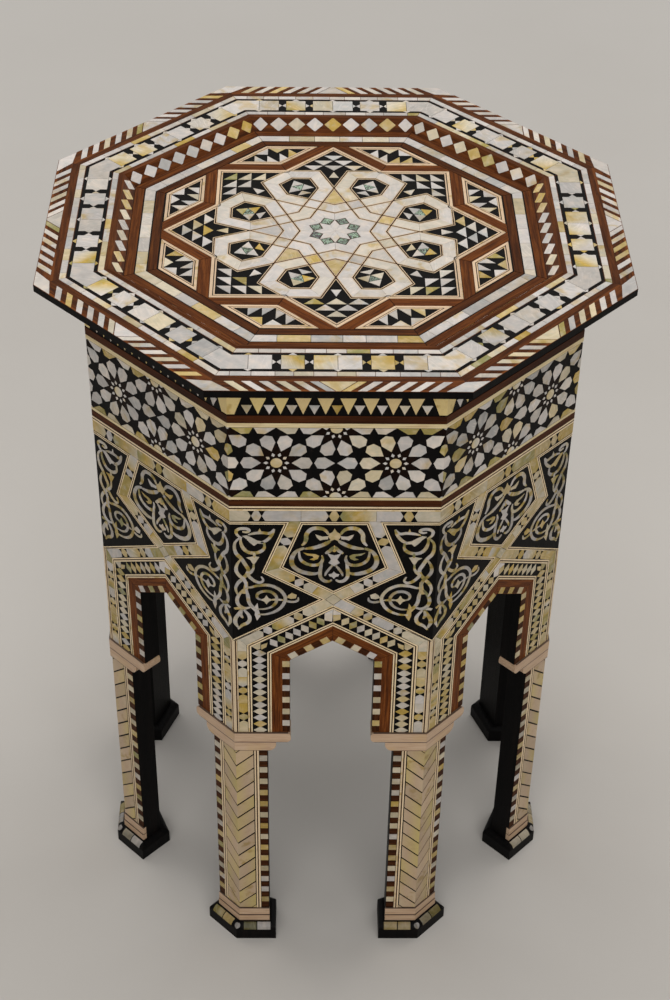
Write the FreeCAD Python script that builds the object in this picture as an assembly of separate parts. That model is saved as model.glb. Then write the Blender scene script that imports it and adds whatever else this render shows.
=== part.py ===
import FreeCAD, Part
import math
import os

# An eight-sided inlaid side table. Millimetres, +Z up, the origin on the floor
# under the middle of the top. The front side faces -Y.

# Driving dimensions of the whole table
SIDES = 8
HEIGHT = 550.0
TOP_APOTHEM = 194.3         # middle of the table to a straight side of the top

# The top: a thin overhanging rim around a sunk field
OVERHANG = 29.4             # how far the rim stands out past the side panels
RIM_EDGE = 5.3              # thickness that shows at the rim's edge
EDGE_BAND = 1.0             # black edging glued around the rim
INLAY_BED = 0.3             # the rails lie lower than their inner lip by the inlay's thickness
INNER_LIP = 2.0             # width of the lip along the rail's inner edge
RIM_WIDTH = 47.9            # from the rim's edge to the sloped wall
RECESS = 8.0                # depth of the sunk field
WALL_RUN = 7.4              # width of the sloped wall, seen from above
CORE_BOARD = 12.0           # thickness of the board that carries the field
REBATE = 1.0                # the rim sits in a rebate around the field

# The eight side panels. The strips lie at these depths below the top
PANEL = 14.0                # thickness of a panel
JAMB = 39.1                 # from a corner to the opening
ARCH_RISE = 71.7            # from the corbels to where the pointed head begins
ARCH_POINT = 18.5           # height of the pointed head
STRING_DEPTH = 2.0          # depth of the grooves for the inlaid strips
STRING_PROUD = 0.3          # how far the strips stand out of the panel
UPPER_STRIP_DROP = 40.4     # the rosewood strip above the frieze
UPPER_STRIP_HIGH = 5.8
UPPER_FILLET_HIGH = 3.3
FRIEZE_HIGH = 56.4
LOWER_FILLET_HIGH = 1.9
WAIST_STRIP_HIGH = 5.5

# The stepped corbels between the panels and the legs
LEG_TOP = 209.0
LOWER_CORBEL_HIGH = 8.8
UPPER_CORBEL_HIGH = 9.1
CORBEL_PROUD = 1.5
CORBEL_NOSE = 0.6           # how far the upper corbel passes the jamb
CORBEL_CURVE = 6.1          # radius of the lower corbel's rounded underside
CORBEL_ROUND = 3.6

# The legs and feet
LEG_WIDTH = 23.0            # width of a leg on each of its two faces
LEG_DEPTH = 17.0
COLLAR_HIGH = (6.6, 7.6)    # heights of the lower and the upper collar
COLLAR_PROUD = (1.5, 1.0)
COLLAR_DEPTH = 2.0
FOOT_HEIGHT = 15.0
FOOT_PROUD = 7.3
FOOT_ROUND = 5.0

# The hidden carcass
CLEAT = 12.0
CLEAT_CLEAR = 3.3           # from a cleat's end to the leg's tongue
SCREW_IN = 16.0             # from a cleat's end to its screw
SCREW = 4.0
SCREW_HEAD = 7.0
SCREW_HEAD_HEIGHT = 2.4
SCREW_BITE = 8.0
FOOT_SCREW = 34.0
SINK = 1.0                  # depth of a foot screw's head inside the sole

# Sizes that follow
HALF_TURN = math.pi / SIDES
SLANT = math.tan(HALF_TURN)
BODY_APOTHEM = TOP_APOTHEM - OVERHANG
HALF_SIDE = BODY_APOTHEM * SLANT
RIM_INNER = TOP_APOTHEM - RIM_WIDTH
FIELD = RIM_INNER - WALL_RUN
FIELD_Z = HEIGHT - RECESS
CORE_Z = FIELD_Z - CORE_BOARD
REBATE_Z = FIELD_Z - REBATE
RIM_UNDER = HEIGHT - RIM_EDGE
RAIL_TOP = HEIGHT - INLAY_BED
PANEL_BACK = BODY_APOTHEM - PANEL
ARCH_HALF = HALF_SIDE - JAMB
CORBEL_STEP = LEG_TOP + LOWER_CORBEL_HIGH
CORBEL_TOP = CORBEL_STEP + UPPER_CORBEL_HIGH
ARCH_SHOULDER = CORBEL_TOP + ARCH_RISE
ARCH_APEX = ARCH_SHOULDER + ARCH_POINT
STRIP_TOP = HEIGHT - UPPER_STRIP_DROP
STRIP_LOW = STRIP_TOP - UPPER_STRIP_HIGH
FRIEZE_TOP = STRIP_LOW - UPPER_FILLET_HIGH
FRIEZE_LOW = FRIEZE_TOP - FRIEZE_HIGH
WAIST_TOP = FRIEZE_LOW - LOWER_FILLET_HIGH
WAIST_LOW = WAIST_TOP - WAIST_STRIP_HIGH
LEG_GAP = HALF_SIDE - LEG_WIDTH
UPPER_CORBEL_END = ARCH_HALF - CORBEL_NOSE
LOWER_CORBEL_END = LEG_GAP - CORBEL_CURVE
LEG_BACK = BODY_APOTHEM - LEG_DEPTH
FOOT_FACE = BODY_APOTHEM + FOOT_PROUD
FOOT_BACK = LEG_BACK - FOOT_ROUND
FOOT_GAP = LEG_GAP - FOOT_ROUND
COLLAR_STEP = FOOT_HEIGHT + COLLAR_HIGH[0]
COLLAR_TOP = COLLAR_STEP + COLLAR_HIGH[1]
CLEAT_HALF = LEG_GAP - CLEAT_CLEAR
CLEAT_SCREW_AT = CLEAT_HALF - SCREW_IN

os.makedirs("parts", exist_ok=True)


def flat(points):
    """A flat face through the points."""
    return Part.Face(Part.makePolygon(list(points) + [points[0]]))


def closed(faces):
    """A solid from the faces around it."""
    return Part.Solid(Part.makeShell(faces))


def turned(shape, quarter_steps):
    """The shape turned about the table's axis by so many eighths of a turn."""
    out = shape.copy()
    out.rotate(FreeCAD.Vector(0, 0, 0), FreeCAD.Vector(0, 0, 1), quarter_steps * 360.0 / SIDES)
    return out


def mitred(section):
    """A bar along the front side, cut to the corners' mitres. The section is a list of
    (distance from the axis, height)."""
    near = [FreeCAD.Vector(-r * SLANT, -r, z) for r, z in section]
    far = [FreeCAD.Vector(r * SLANT, -r, z) for r, z in section]
    faces = [flat(near), flat(far)]
    for i in range(len(section)):
        j = (i + 1) % len(section)
        faces.append(flat([near[i], near[j], far[j], far[i]]))
    return closed(faces)


def block(r0, r1, z0, z1):
    """A mitred bar of rectangular section."""
    return mitred([(r0, z0), (r1, z0), (r1, z1), (r0, z1)])


def octagon(apothem, z0, z1):
    """An eight-sided board."""
    radius = apothem / math.cos(HALF_TURN)
    corners = []
    for i in range(SIDES):
        a = HALF_TURN + i * 2 * HALF_TURN
        corners.append(FreeCAD.Vector(radius * math.cos(a), radius * math.sin(a), z0))
    return flat(corners).extrude(FreeCAD.Vector(0, 0, z1 - z0))


def on_face(apothem, s, side):
    """A plan point near the corner that lies on the +X axis: on the face at this apothem,
    s from the middle of that side. side is 1 or -1 for the two faces of the corner."""
    c, n = math.cos(HALF_TURN), math.sin(HALF_TURN)
    return FreeCAD.Vector(apothem * c + s * n, side * (apothem * n - s * c), 0)


def corner(apothem):
    """The plan point where two faces at this apothem meet, for the corner on +X."""
    return FreeCAD.Vector(apothem / math.cos(HALF_TURN), 0, 0)


def prism(plan, z0, z1):
    """The plan polygon between two heights."""
    low = [FreeCAD.Vector(p.x, p.y, z0) for p in plan]
    return flat(low).extrude(FreeCAD.Vector(0, 0, z1 - z0))


def vee(r0, r1, end, z0, z1):
    """A bar bent around the corner on +X, from apothem r0 to r1, with its ends this far
    from the middle of each side."""
    plan = [corner(r1), on_face(r1, end, 1), on_face(r0, end, 1)]
    plan += [corner(r0), on_face(r0, end, -1), on_face(r1, end, -1)]
    return prism(plan, z0, z1)


def post(r0, r1, end, z0, z1):
    """A five-sided block in the corner on +X, with a flat back."""
    plan = [corner(r1), on_face(r1, end, 1), on_face(r0, end, 1)]
    plan += [on_face(r0, end, -1), on_face(r1, end, -1)]
    return prism(plan, z0, z1)


def rod(diameter, z0, z1, x, y):
    """An upright round rod."""
    return Part.makeCylinder(diameter / 2, z1 - z0, FreeCAD.Vector(x, y, z0))


def screw(z0, length, x, y):
    """A screw that points up, with its head's underside at z0 + SCREW_HEAD_HEIGHT."""
    head = rod(SCREW_HEAD, z0, z0 + SCREW_HEAD_HEIGHT, x, y)
    slot = Part.makeBox(SCREW_HEAD + 1, 1.0, 1.0, FreeCAD.Vector(x - SCREW_HEAD / 2 - 0.5, y - 0.5, z0))
    shank = rod(SCREW, z0 + SCREW_HEAD_HEIGHT, z0 + length, x, y)
    return head.cut(slot).fuse(shank).removeSplitter()


def end_edges(shape, end, z):
    """The edges across a corbel's two ends at this height."""
    found = []
    for edge in shape.Edges:
        a, b = edge.Vertexes[0].Point, edge.Vertexes[-1].Point
        level = abs(a.z - z) < 1e-6 and abs(b.z - z) < 1e-6
        for side in (1, -1):
            tangent = FreeCAD.Vector(math.sin(HALF_TURN), -side * math.cos(HALF_TURN), 0)
            at_end = all(abs(p.dot(tangent) - end) < 1e-6 for p in (a, b))
            if level and at_end:
                found.append(edge)
    return found


def export(shape, name):
    """One named piece, or a group of like pieces."""
    shape.exportStep(f"parts/{name}.step")
    print(name, len(shape.Solids), shape.isValid(), round(shape.Volume / 1000.0, 2))


def around(shape, name):
    """Eight separate nodes from one piece."""
    for i in range(SIDES):
        export(turned(shape, i), f"{name}_{i + 1}")


def group(shapes, name):
    """Eight turns of the pieces, together in one node."""
    pieces = [turned(s, i) for i in range(SIDES) for s in shapes]
    export(Part.makeCompound(pieces), name)


def to_corner(shape):
    """A corner piece moved from the +X axis to the corner left of the front side."""
    return turned(shape, -2.5)


# The top's core board, with pilot holes for the cleat screws
cleat_mid = PANEL_BACK - CLEAT / 2
screw_low = CORE_Z - CLEAT - SCREW_HEAD_HEIGHT
cleat_screws = [screw(screw_low, SCREW_HEAD_HEIGHT + CLEAT + SCREW_BITE, x, -cleat_mid)
                for x in (-CLEAT_SCREW_AT, CLEAT_SCREW_AT)]
core = octagon(PANEL_BACK, CORE_Z, REBATE_Z).fuse(octagon(FIELD, CORE_Z, FIELD_Z)).removeSplitter()
for i in range(SIDES):
    for s in cleat_screws:
        core = core.cut(turned(s, i))
export(core, "top_core_board")

# The rim: eight mitred rails with the sloped wall and a low lip, and the black edging around them
rail_outer, lip = TOP_APOTHEM - EDGE_BAND, RIM_INNER + INNER_LIP
rail = mitred([(rail_outer, RAIL_TOP), (rail_outer, RIM_UNDER), (PANEL_BACK, RIM_UNDER),
               (PANEL_BACK, REBATE_Z), (FIELD, REBATE_Z), (FIELD, FIELD_Z), (RIM_INNER, HEIGHT),
               (lip, HEIGHT), (lip, RAIL_TOP)])
around(rail, "rim_rail")
group([block(rail_outer, TOP_APOTHEM, RIM_UNDER, RAIL_TOP)], "rim_edge_bands")

# The side panels, with the pointed opening and the grooves of the inlaid strips
arch = [FreeCAD.Vector(x, -BODY_APOTHEM - 1, z) for x, z in (
    (-ARCH_HALF, CORBEL_TOP - 1), (ARCH_HALF, CORBEL_TOP - 1), (ARCH_HALF, ARCH_SHOULDER),
    (0, ARCH_APEX), (-ARCH_HALF, ARCH_SHOULDER))]
panel = block(PANEL_BACK, BODY_APOTHEM, CORBEL_TOP, RIM_UNDER)
panel = panel.cut(flat(arch).extrude(FreeCAD.Vector(0, PANEL + 2, 0)))
groove = BODY_APOTHEM - STRING_DEPTH
for low, high in ((FRIEZE_TOP, STRIP_TOP), (WAIST_LOW, FRIEZE_LOW)):
    panel = panel.cut(block(groove, BODY_APOTHEM + 1, low, high))
around(panel, "side_panel")
string_face = BODY_APOTHEM + STRING_PROUD
for name, low, high in (("upper_strips", STRIP_LOW, STRIP_TOP), ("upper_fillets", FRIEZE_TOP, STRIP_LOW),
                        ("lower_fillets", WAIST_TOP, FRIEZE_LOW), ("waist_strips", WAIST_LOW, WAIST_TOP)):
    group([block(groove, string_face, low, high)], name)

# The corbels, with a rounded nose above and a rounded underside below
corbel_face = BODY_APOTHEM + CORBEL_PROUD
upper = vee(PANEL_BACK, corbel_face, UPPER_CORBEL_END, CORBEL_STEP, CORBEL_TOP)
nose = end_edges(upper, UPPER_CORBEL_END, CORBEL_TOP) + end_edges(upper, UPPER_CORBEL_END, CORBEL_STEP)
upper = upper.makeFillet(CORBEL_ROUND, nose)
lower = vee(PANEL_BACK, corbel_face, LOWER_CORBEL_END, LEG_TOP, CORBEL_STEP)
lower = lower.makeFillet(CORBEL_CURVE, end_edges(lower, LOWER_CORBEL_END, LEG_TOP))
around(to_corner(upper), "upper_corbel")
around(to_corner(lower), "lower_corbel")

# The legs: a five-sided post, rebated behind the collars and the panels
whole = post(LEG_BACK, BODY_APOTHEM, LEG_GAP, FOOT_HEIGHT, CORE_Z)
whole = whole.cut(vee(PANEL_BACK, BODY_APOTHEM + 5, 0, LEG_TOP, HEIGHT))
collar_back = BODY_APOTHEM - COLLAR_DEPTH
whole = whole.cut(vee(collar_back, BODY_APOTHEM + 5, 0, FOOT_HEIGHT, COLLAR_TOP))
screw_at = (on_face(LEG_BACK, LEG_GAP, 1).x + corner(BODY_APOTHEM).x) / 2
foot_screw = screw(SINK, FOOT_SCREW, screw_at, 0)
leg = whole.cut(foot_screw)
around(to_corner(leg), "leg_post")
for name, z0, z1, proud in (("lower_collars", FOOT_HEIGHT, COLLAR_STEP, COLLAR_PROUD[0]),
                            ("upper_collars", COLLAR_STEP, COLLAR_TOP, COLLAR_PROUD[1])):
    group([to_corner(vee(collar_back, BODY_APOTHEM + proud, LEG_GAP, z0, z1))], name)

# The feet: a wider block with a rounded shoulder, screwed to the leg from below
foot = post(FOOT_BACK, FOOT_FACE, FOOT_GAP, 0, FOOT_HEIGHT)
shoulder = [e for e in foot.Edges if all(abs(v.Point.z - FOOT_HEIGHT) < 1e-6 for v in e.Vertexes)]
foot = foot.makeFillet(FOOT_ROUND, shoulder)
foot = foot.cut(rod(SCREW_HEAD, -1, SINK, screw_at, 0)).cut(foot_screw)
around(to_corner(foot), "foot")
group([to_corner(foot_screw)], "foot_screws")

# The cleats that carry the core board
cleat = Part.makeBox(2 * CLEAT_HALF, CLEAT, CLEAT, FreeCAD.Vector(-CLEAT_HALF, -PANEL_BACK, CORE_Z - CLEAT))
for s in cleat_screws:
    cleat = cleat.cut(s)
group([cleat], "top_cleats")
group(cleat_screws, "cleat_screws")
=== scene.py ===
# %% [markdown]
# # An eight-sided inlaid side table
# The table is a dark wooden body that is covered with small sawn pieces of mother of pearl,
# bone, red wood and black wood. The solids of the body come from the CAD model. This lesson
# gives them their wood and lays the inlay on them, piece by piece, as real geometry.
# Drawing sizes are in millimetres, and they become metres only when a mesh is made.

# %% Load the solids
import math
import random

import bpy
from mathutils import Matrix, Vector


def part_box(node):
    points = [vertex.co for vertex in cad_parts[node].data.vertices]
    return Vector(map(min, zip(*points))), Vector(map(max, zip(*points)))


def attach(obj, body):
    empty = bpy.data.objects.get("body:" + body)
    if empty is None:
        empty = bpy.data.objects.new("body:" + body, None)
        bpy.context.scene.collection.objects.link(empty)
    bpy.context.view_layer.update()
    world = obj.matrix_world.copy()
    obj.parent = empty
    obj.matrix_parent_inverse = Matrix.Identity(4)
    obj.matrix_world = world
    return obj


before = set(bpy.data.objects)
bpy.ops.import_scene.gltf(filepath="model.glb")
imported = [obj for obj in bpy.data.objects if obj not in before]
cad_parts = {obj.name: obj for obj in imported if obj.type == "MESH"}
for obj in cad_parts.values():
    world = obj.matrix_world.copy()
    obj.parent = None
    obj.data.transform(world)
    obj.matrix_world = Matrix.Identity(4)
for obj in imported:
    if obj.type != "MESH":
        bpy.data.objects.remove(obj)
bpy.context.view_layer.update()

# %% [markdown]
# ## Sizes that the inlay has to meet
# The maker measures the finished carcass before sawing any inlay. Here the sizes are read from
# the solids in the same way, so that the pattern still fits after a change to the body. A table
# of typed numbers would be shorter, but it would drift away from the model.

# %% Measure the carcass
def low(node):
    """The lowest corner of a solid, in millimetres."""
    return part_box(node)[0] * 1000


def high(node):
    """The highest corner of a solid, in millimetres."""
    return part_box(node)[1] * 1000


EIGHTH = math.pi / 4
SLANT = math.tan(EIGHTH / 2)
BODY = -low("side_panel_1").y
HALF = BODY * SLANT
RIM, RAIL_TOP, LIP_TOP = -low("rim_edge_bands").y, high("rim_edge_bands").z, high("rim_rail_1").z
FIELD_Z = high("top_core_board").z
STRIP_TOP, FRIEZE_TOP = high("upper_strips").z, low("upper_fillets").z
FRIEZE_LOW, WAIST_LOW = high("lower_fillets").z, low("waist_strips").z
CORBEL_TOP, CORBEL_STEP = high("upper_corbel_1").z, low("upper_corbel_1").z
LEG_TOP, COLLAR_TOP = low("lower_corbel_1").z, high("upper_collars").z
FOOT_TOP, FOOT_FACE = high("foot_1").z, -low("foot_1").y
print("side half width", round(HALF, 2), "rail top", round(RAIL_TOP, 2), "foot face", round(FOOT_FACE, 2))

# %% [markdown]
# ## Writing a finish as arithmetic
# Every finish here is a node tree. Trees can be wired by hand in the shader editor, or node by
# node in code, but both hide what is worked out. This small class wraps one socket, so that
# sums of sockets add their own Math nodes and a finish reads like a formula.

# %% A wire between nodes
class Wire:
    """One output of a node. Sums of wires add Math nodes."""

    def __init__(self, tree, socket=None):
        self.tree, self.socket = tree, socket

    def add(self, kind, sockets=None, out=0, **settings):
        """A new node: its settings first, then its sockets. Gives back one of its outputs."""
        made = self.tree.nodes.new(kind)
        for name, value in settings.items():
            if name == "stops":
                stops = made.color_ramp.elements
                while len(stops) < len(value):
                    stops.new(0.5)
                for stop, (at, colour) in zip(stops, value):
                    stop.position, stop.color = at, (*colour, 1)
            else:
                setattr(made, name, value)
        for name, value in (sockets or {}).items():
            if isinstance(value, Wire):
                self.tree.links.new(value.socket, made.inputs[name])
            else:
                made.inputs[name].default_value = value
        return Wire(self.tree, made.outputs[out])

    def math(self, operation, *values):
        return self.add("ShaderNodeMath", dict(enumerate(values)), operation=operation)

    def __add__(self, other): return self.math("ADD", self, other)
    def __radd__(self, other): return self.math("ADD", other, self)
    def __sub__(self, other): return self.math("SUBTRACT", self, other)
    def __rsub__(self, other): return self.math("SUBTRACT", other, self)
    def __mul__(self, other): return self.math("MULTIPLY", self, other)
    def __rmul__(self, other): return self.math("MULTIPLY", other, self)
    def __truediv__(self, other): return self.math("DIVIDE", self, other)
    def __rtruediv__(self, other): return self.math("DIVIDE", other, self)
    def __abs__(self): return self.math("ABSOLUTE", self)


print("a wire adds up with", [name for name in vars(Wire) if name.startswith("__r")])

# %% [markdown]
# Some nodes come up in every finish. The first ones deal with places: a pattern such as grain is noise
# at a place, and stretching the place draws the pattern out along one direction. Blender has a Wave
# texture for wood too, but its rings are too even for sawn boards.

# %% Places and patterns
def parts(wire):
    """The three numbers of a vector."""
    return [wire.add("ShaderNodeSeparateXYZ", {0: wire}, out=i) for i in range(3)]


def together(wire, x, y, z):
    """A vector of three numbers."""
    return wire.add("ShaderNodeCombineXYZ", {0: x, 1: y, 2: z})


def vector(operation, first, *others, out=0):
    """A sum of vectors, as Vector Math does it."""
    return first.add("ShaderNodeVectorMath", dict(enumerate((first, *others))), out=out, operation=operation)


def stretched(wire, x, y, z):
    return vector("MULTIPLY", wire, (x, y, z))


def noise(wire, scale=1.0, detail=3.0, rough=0.55, bend=0.0):
    return wire.add("ShaderNodeTexNoise", {"Vector": wire, "Scale": scale, "Detail": detail,
                                           "Roughness": rough, "Distortion": bend})


print("words for places:", [word.__name__ for word in (parts, together, vector, stretched, noise)])

# %% [markdown]
# The next ones deal with colours. They are typed as a paint card gives them, and a shader needs them in
# linear numbers. Colours go through Mix nodes, because a Math node would turn them grey. A Bump node
# gives a relief too fine to model, such as the pores of wood.

# %% Colours and relief
def srgb(red, green, blue):
    """A colour as a paint card gives it, 0 to 255, turned into Blender's linear numbers."""
    return tuple(c / 255 / 12.92 if c < 10.3 else ((c / 255 + 0.055) / 1.055) ** 2.4
                 for c in (red, green, blue))


def ramp(wire, *stops):
    return wire.add("ShaderNodeValToRGB", {0: wire}, stops=stops)


def mix(share, first, second, blend="MIX"):
    """Two colours mixed. What is the same all over may be a plain number or tuple."""
    wire = next(w for w in (share, first, second) if isinstance(w, Wire))
    first, second = ((*c, 1) if isinstance(c, tuple) else c for c in (first, second))
    return wire.add("ShaderNodeMix", {0: share, 6: first, 7: second}, out=2,
                    data_type="RGBA", blend_type=blend)


def shaded(colour, light):
    """A colour made darker or lighter by a number."""
    return mix(1.0, colour, light, "MULTIPLY")


def between(wire, start, end):
    """0 below start, 1 above end, and smooth in between."""
    return wire.add("ShaderNodeMapRange", {0: wire, 1: start, 2: end}, interpolation_type="SMOOTHSTEP")


def bump(wire, height, depth, normal=None):
    """A relief of that depth in metres."""
    sockets = {"Height": height, "Strength": 1.0, "Distance": depth}
    if normal:
        sockets["Normal"] = normal
    return wire.add("ShaderNodeBump", sockets)


print("a middle grey of 128 is", round(srgb(128, 128, 128)[0], 3), "in linear numbers")

# %% [markdown]
# A finish ends in one shader, the Principled one, which does wood, shell and metal alike. Its sockets
# are of two kinds here. What is the same all over, such as the coat, is typed on the socket, and only
# what varies over the surface is wired, so that it can be baked into pictures later.

# %% A finish
def finish(name, paint, **fixed):
    """A material: paint gives the sockets that vary, fixed the ones that are the same all over."""
    made = bpy.data.materials.new(name)
    made.use_nodes = True
    tree = made.node_tree
    tree.nodes.clear()
    end = tree.nodes.new("ShaderNodeOutputMaterial")
    shader = tree.nodes.new("ShaderNodeBsdfPrincipled")
    tree.links.new(shader.outputs[0], end.inputs[0])
    for socket, value in fixed.items():
        shader.inputs[socket.replace("_", " ")].default_value = value
    for socket, wire in paint(Wire(tree)).items():
        tree.links.new(wire.socket, shader.inputs[socket])
    print("finish", name, len(tree.nodes), "nodes")
    return made


print("finishes that came with the solids:", len(bpy.data.materials))

# %% [markdown]
# ## Mother of pearl
# Each piece is sawn from its own shell, so its tone differs from its neighbour's: mostly a
# pinkish white, some cream or grey, a few golden or olive. One noise pattern over the whole table
# would run across the joints and give that away. Instead every piece carries three numbers, its
# shade, its tint and its luck, and a small map of its own, Grain, that is turned at random. Growth
# lines and stains are drawn on that map. Luck tilts the normal, so some pieces catch the light.

# %% Pearl
GREY, PINK, CREAM, GOLD, OLIVE = 0.0, 0.25, 0.5, 0.75, 1.0
SHELL_TONES = ((GREY, srgb(194, 191, 186)), (PINK, srgb(216, 208, 201)), (CREAM, srgb(217, 203, 172)),
               (GOLD, srgb(204, 170, 78)), (OLIVE, srgb(150, 146, 92)))
BLUSH, SEA_GREEN, SHELL_STAIN = srgb(226, 204, 182), srgb(178, 188, 182), srgb(196, 162, 76)


def sawn(wire):
    """A piece's shade, tint and luck, and its own map in millimetres."""
    shade, tint, luck = parts(wire.add("ShaderNodeAttribute", out="Vector", attribute_name="cut"))
    return shade, tint, luck, wire.add("ShaderNodeUVMap", uv_map="Grain")


def tilted(wire, luck, share):
    """The surface's normal, leaned over by a random amount for each piece."""
    chance = wire.add("ShaderNodeTexWhiteNoise", {"W": luck}, out="Color", noise_dimensions="1D")
    lean = stretched(vector("SUBTRACT", chance, (0.5, 0.5, 0.5)), share, share, share)
    return vector("NORMALIZE", vector("ADD", wire.add("ShaderNodeNewGeometry", out="Normal"), lean))


def pearl_paint(wire):
    shade, tint, luck, grain = sawn(wire)
    cloud = noise(grain, 0.13, detail=2.0)
    growth = noise(stretched(grain, 0.10, 0.55, 1), detail=2.0, rough=0.5, bend=0.6)
    patch = noise(grain, 0.09, detail=2.0, rough=0.5, bend=0.6)
    stain = between(patch, 0.43, 0.76) * between(luck, 0.45, 0.90)
    colour = ramp(tint, *SHELL_TONES)
    colour = mix(0.30 * between(cloud, 0.45, 0.70), colour, BLUSH)
    colour = mix(0.30 * between(noise(grain, 0.19, detail=2.0), 0.52, 0.74), colour, SEA_GREEN)
    colour = mix(0.70 * stain, colour, SHELL_STAIN)
    light = 0.69 + 0.30 * shade + 0.12 * (growth - 0.5) + 0.42 * (cloud - 0.5)
    return {"Base Color": shaded(colour, light), "Roughness": 0.14 + 0.22 * growth,
            "Normal": bump(wire, growth, 0.00004, tilted(wire, luck, 0.16))}


pearl = finish("pearl", pearl_paint, IOR=1.3, Coat_Weight=0.05, Coat_Roughness=0.14)

# %% [markdown]
# ## Bone, red wood, black wood and green shell
# The thin light lines are bone or pale wood, the brown pieces are a red wood and the black
# ones are dyed or black wood. These are sawn pieces too, so they use the same map. Bone has fine
# short streaks, wood has long ones, and the green shell in the middle of the top has
# swirls of blue, green and violet. Its brightest mint swirls are partly its own colour and partly
# painted highlight, glints put into the colour.

# %% The other sawn pieces
BONE_TONES = (0.0, srgb(232, 210, 170)), (0.5, srgb(220, 188, 154)), (1.0, srgb(228, 204, 122))
BONE_AGE, BONE_STAIN = srgb(184, 142, 92), srgb(180, 146, 62)
RED = srgb(40, 16, 5), srgb(102, 53, 19), srgb(148, 86, 36)
BLACK = srgb(5, 5, 5), srgb(9, 8, 8), srgb(20, 15, 13)
# The bright mint stop of the green shell's tones is partly painted highlight: glints put into its colour.
GREEN_TONES_AND_GLINTS = ((0.32, srgb(34, 38, 36)), (0.43, srgb(84, 92, 66)), (0.50, srgb(168, 200, 172)),
               (0.56, srgb(92, 96, 90)), (0.68, srgb(72, 62, 70)))


def bone_paint(wire):
    shade, tint, luck, grain = sawn(wire)
    streak = noise(stretched(grain, 0.18, 2.4, 1), detail=4.0, rough=0.65)
    age = between(noise(grain, 0.11), 0.50, 0.75)
    stain = between(noise(grain, 0.14, detail=2.0), 0.50, 0.68) * between(luck, 0.30, 0.90)
    colour = mix(0.25 * age, ramp(tint, *BONE_TONES), BONE_AGE)
    colour = mix(0.70 * stain, colour, BONE_STAIN)
    light = 0.80 + 0.22 * shade + 0.30 * (streak - 0.5)
    return {"Base Color": shaded(colour, light), "Roughness": 0.34 + 0.2 * streak,
            "Normal": bump(wire, streak, 0.00005, tilted(wire, luck, 0.05))}


def wood_tones(shade, streak, fleck, dark, mid, bright):
    """A wood's colour from its long streaks and its short dark flecks."""
    colour = ramp(streak, (0.25, dark), (0.5, mid), (0.78, bright))
    colour = mix(0.6 * between(fleck, 0.58, 0.72), colour, dark)
    return shaded(colour, 0.72 + 0.5 * shade)


def sawn_wood(tones, rough):
    def paint(wire):
        shade, _, luck, grain = sawn(wire)
        streak = noise(stretched(grain, 0.03, 0.55, 1), detail=5.0, rough=0.62, bend=0.3)
        fleck = noise(stretched(grain, 0.25, 3.2, 1), detail=2.0)
        return {"Base Color": wood_tones(shade, streak, fleck, *tones), "Roughness": rough + 0.22 * fleck,
                "Normal": bump(wire, streak + fleck, 0.00006, tilted(wire, luck, 0.03))}
    return paint


def green_shell_paint(wire):
    shade, _, luck, grain = sawn(wire)
    swirl = noise(grain, 0.30, detail=2.0, rough=0.5, bend=1.6)
    return {"Base Color": shaded(ramp(swirl, *GREEN_TONES_AND_GLINTS), 0.6 + 0.6 * shade),
            "Roughness": 0.12 + 0.2 * swirl, "Normal": bump(wire, swirl, 0.00005, tilted(wire, luck, 0.16))}


SATIN, MATT = {"IOR": 1.5, "Specular_IOR_Level": 0.06}, {"IOR": 1.45, "Specular_IOR_Level": 0.06}
bone = finish("bone", bone_paint, IOR=1.5, Coat_Weight=0.1, Coat_Roughness=0.25)
red_wood = finish("red_wood_inlay", sawn_wood(RED, 0.34), **SATIN)
black_wood = finish("black_wood_inlay", sawn_wood(BLACK, 0.34), **MATT)
green_shell = finish("green_shell", green_shell_paint, IOR=1.6, Coat_Weight=0.4, Coat_Roughness=0.1)
STUFF = {"pearl": pearl, "bone": bone, "red": red_wood, "black": black_wood, "green": green_shell}

# %% [markdown]
# ## Outlines
# A piece of inlay starts as an outline on paper. These helpers do what a fretsaw and a ruler do:
# they cut an outline along a line, move it inwards for the joint, and draw strips with mitred
# corners along a line. Blender's own bisect and inset work on meshes, but the pattern is
# easier to plan flat, as lists of points, before anything becomes a mesh.

# %% Measuring and turning outlines
def edges(outline):
    return list(zip(outline, outline[1:] + outline[:1]))


def spread(outline):
    """The area inside an outline, above zero if it turns anticlockwise."""
    return sum(x0 * y1 - x1 * y0 for (x0, y0), (x1, y1) in edges(outline)) / 2


def tidy(outline):
    """The outline without doubled points, turning anticlockwise."""
    kept = [p for i, p in enumerate(outline) if math.dist(p, outline[i - 1]) > 1e-3]
    return kept if spread(kept) > 0 else kept[::-1]


def middle(outline):
    return tuple(sum(p[i] for p in outline) / len(outline) for i in (0, 1))


def mirror(outline):
    return [(-x, y) for x, y in outline]


BOTH_HANDS = list, mirror  # as it is drawn, and mirrored


def spin(outline, k):
    """An outline on the top, turned by k eighths."""
    c, s = math.cos(k * EIGHTH), math.sin(k * EIGHTH)
    return [(x * c - y * s, x * s + y * c) for x, y in outline]


print("an eighth of a turn takes (1, 0) to", [round(v, 3) for v in spin([(1, 0)], 1)[0]])

# %% [markdown]
# Many pieces are cut off by a mitre, a border or an axis. Such a cut is a straight line, and the part of
# an outline on one side of it is found by walking round the outline and adding a point at each
# crossing. A Boolean modifier would do the same on meshes, more slowly and less predictably.

# %% Trimming outlines
def trim(outline, a, b, c):
    """The part of an outline where a * x + b * y is at most c."""
    kept = []
    for (x0, y0), (x1, y1) in zip(outline[-1:] + outline[:-1], outline):
        d0, d1 = a * x0 + b * y0 - c, a * x1 + b * y1 - c
        if (d0 > 0) != (d1 > 0):
            t = d0 / (d0 - d1)
            kept.append((x0 + t * (x1 - x0), y0 + t * (y1 - y0)))
        if d1 <= 0:
            kept.append((x1, y1))
    return kept


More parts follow.
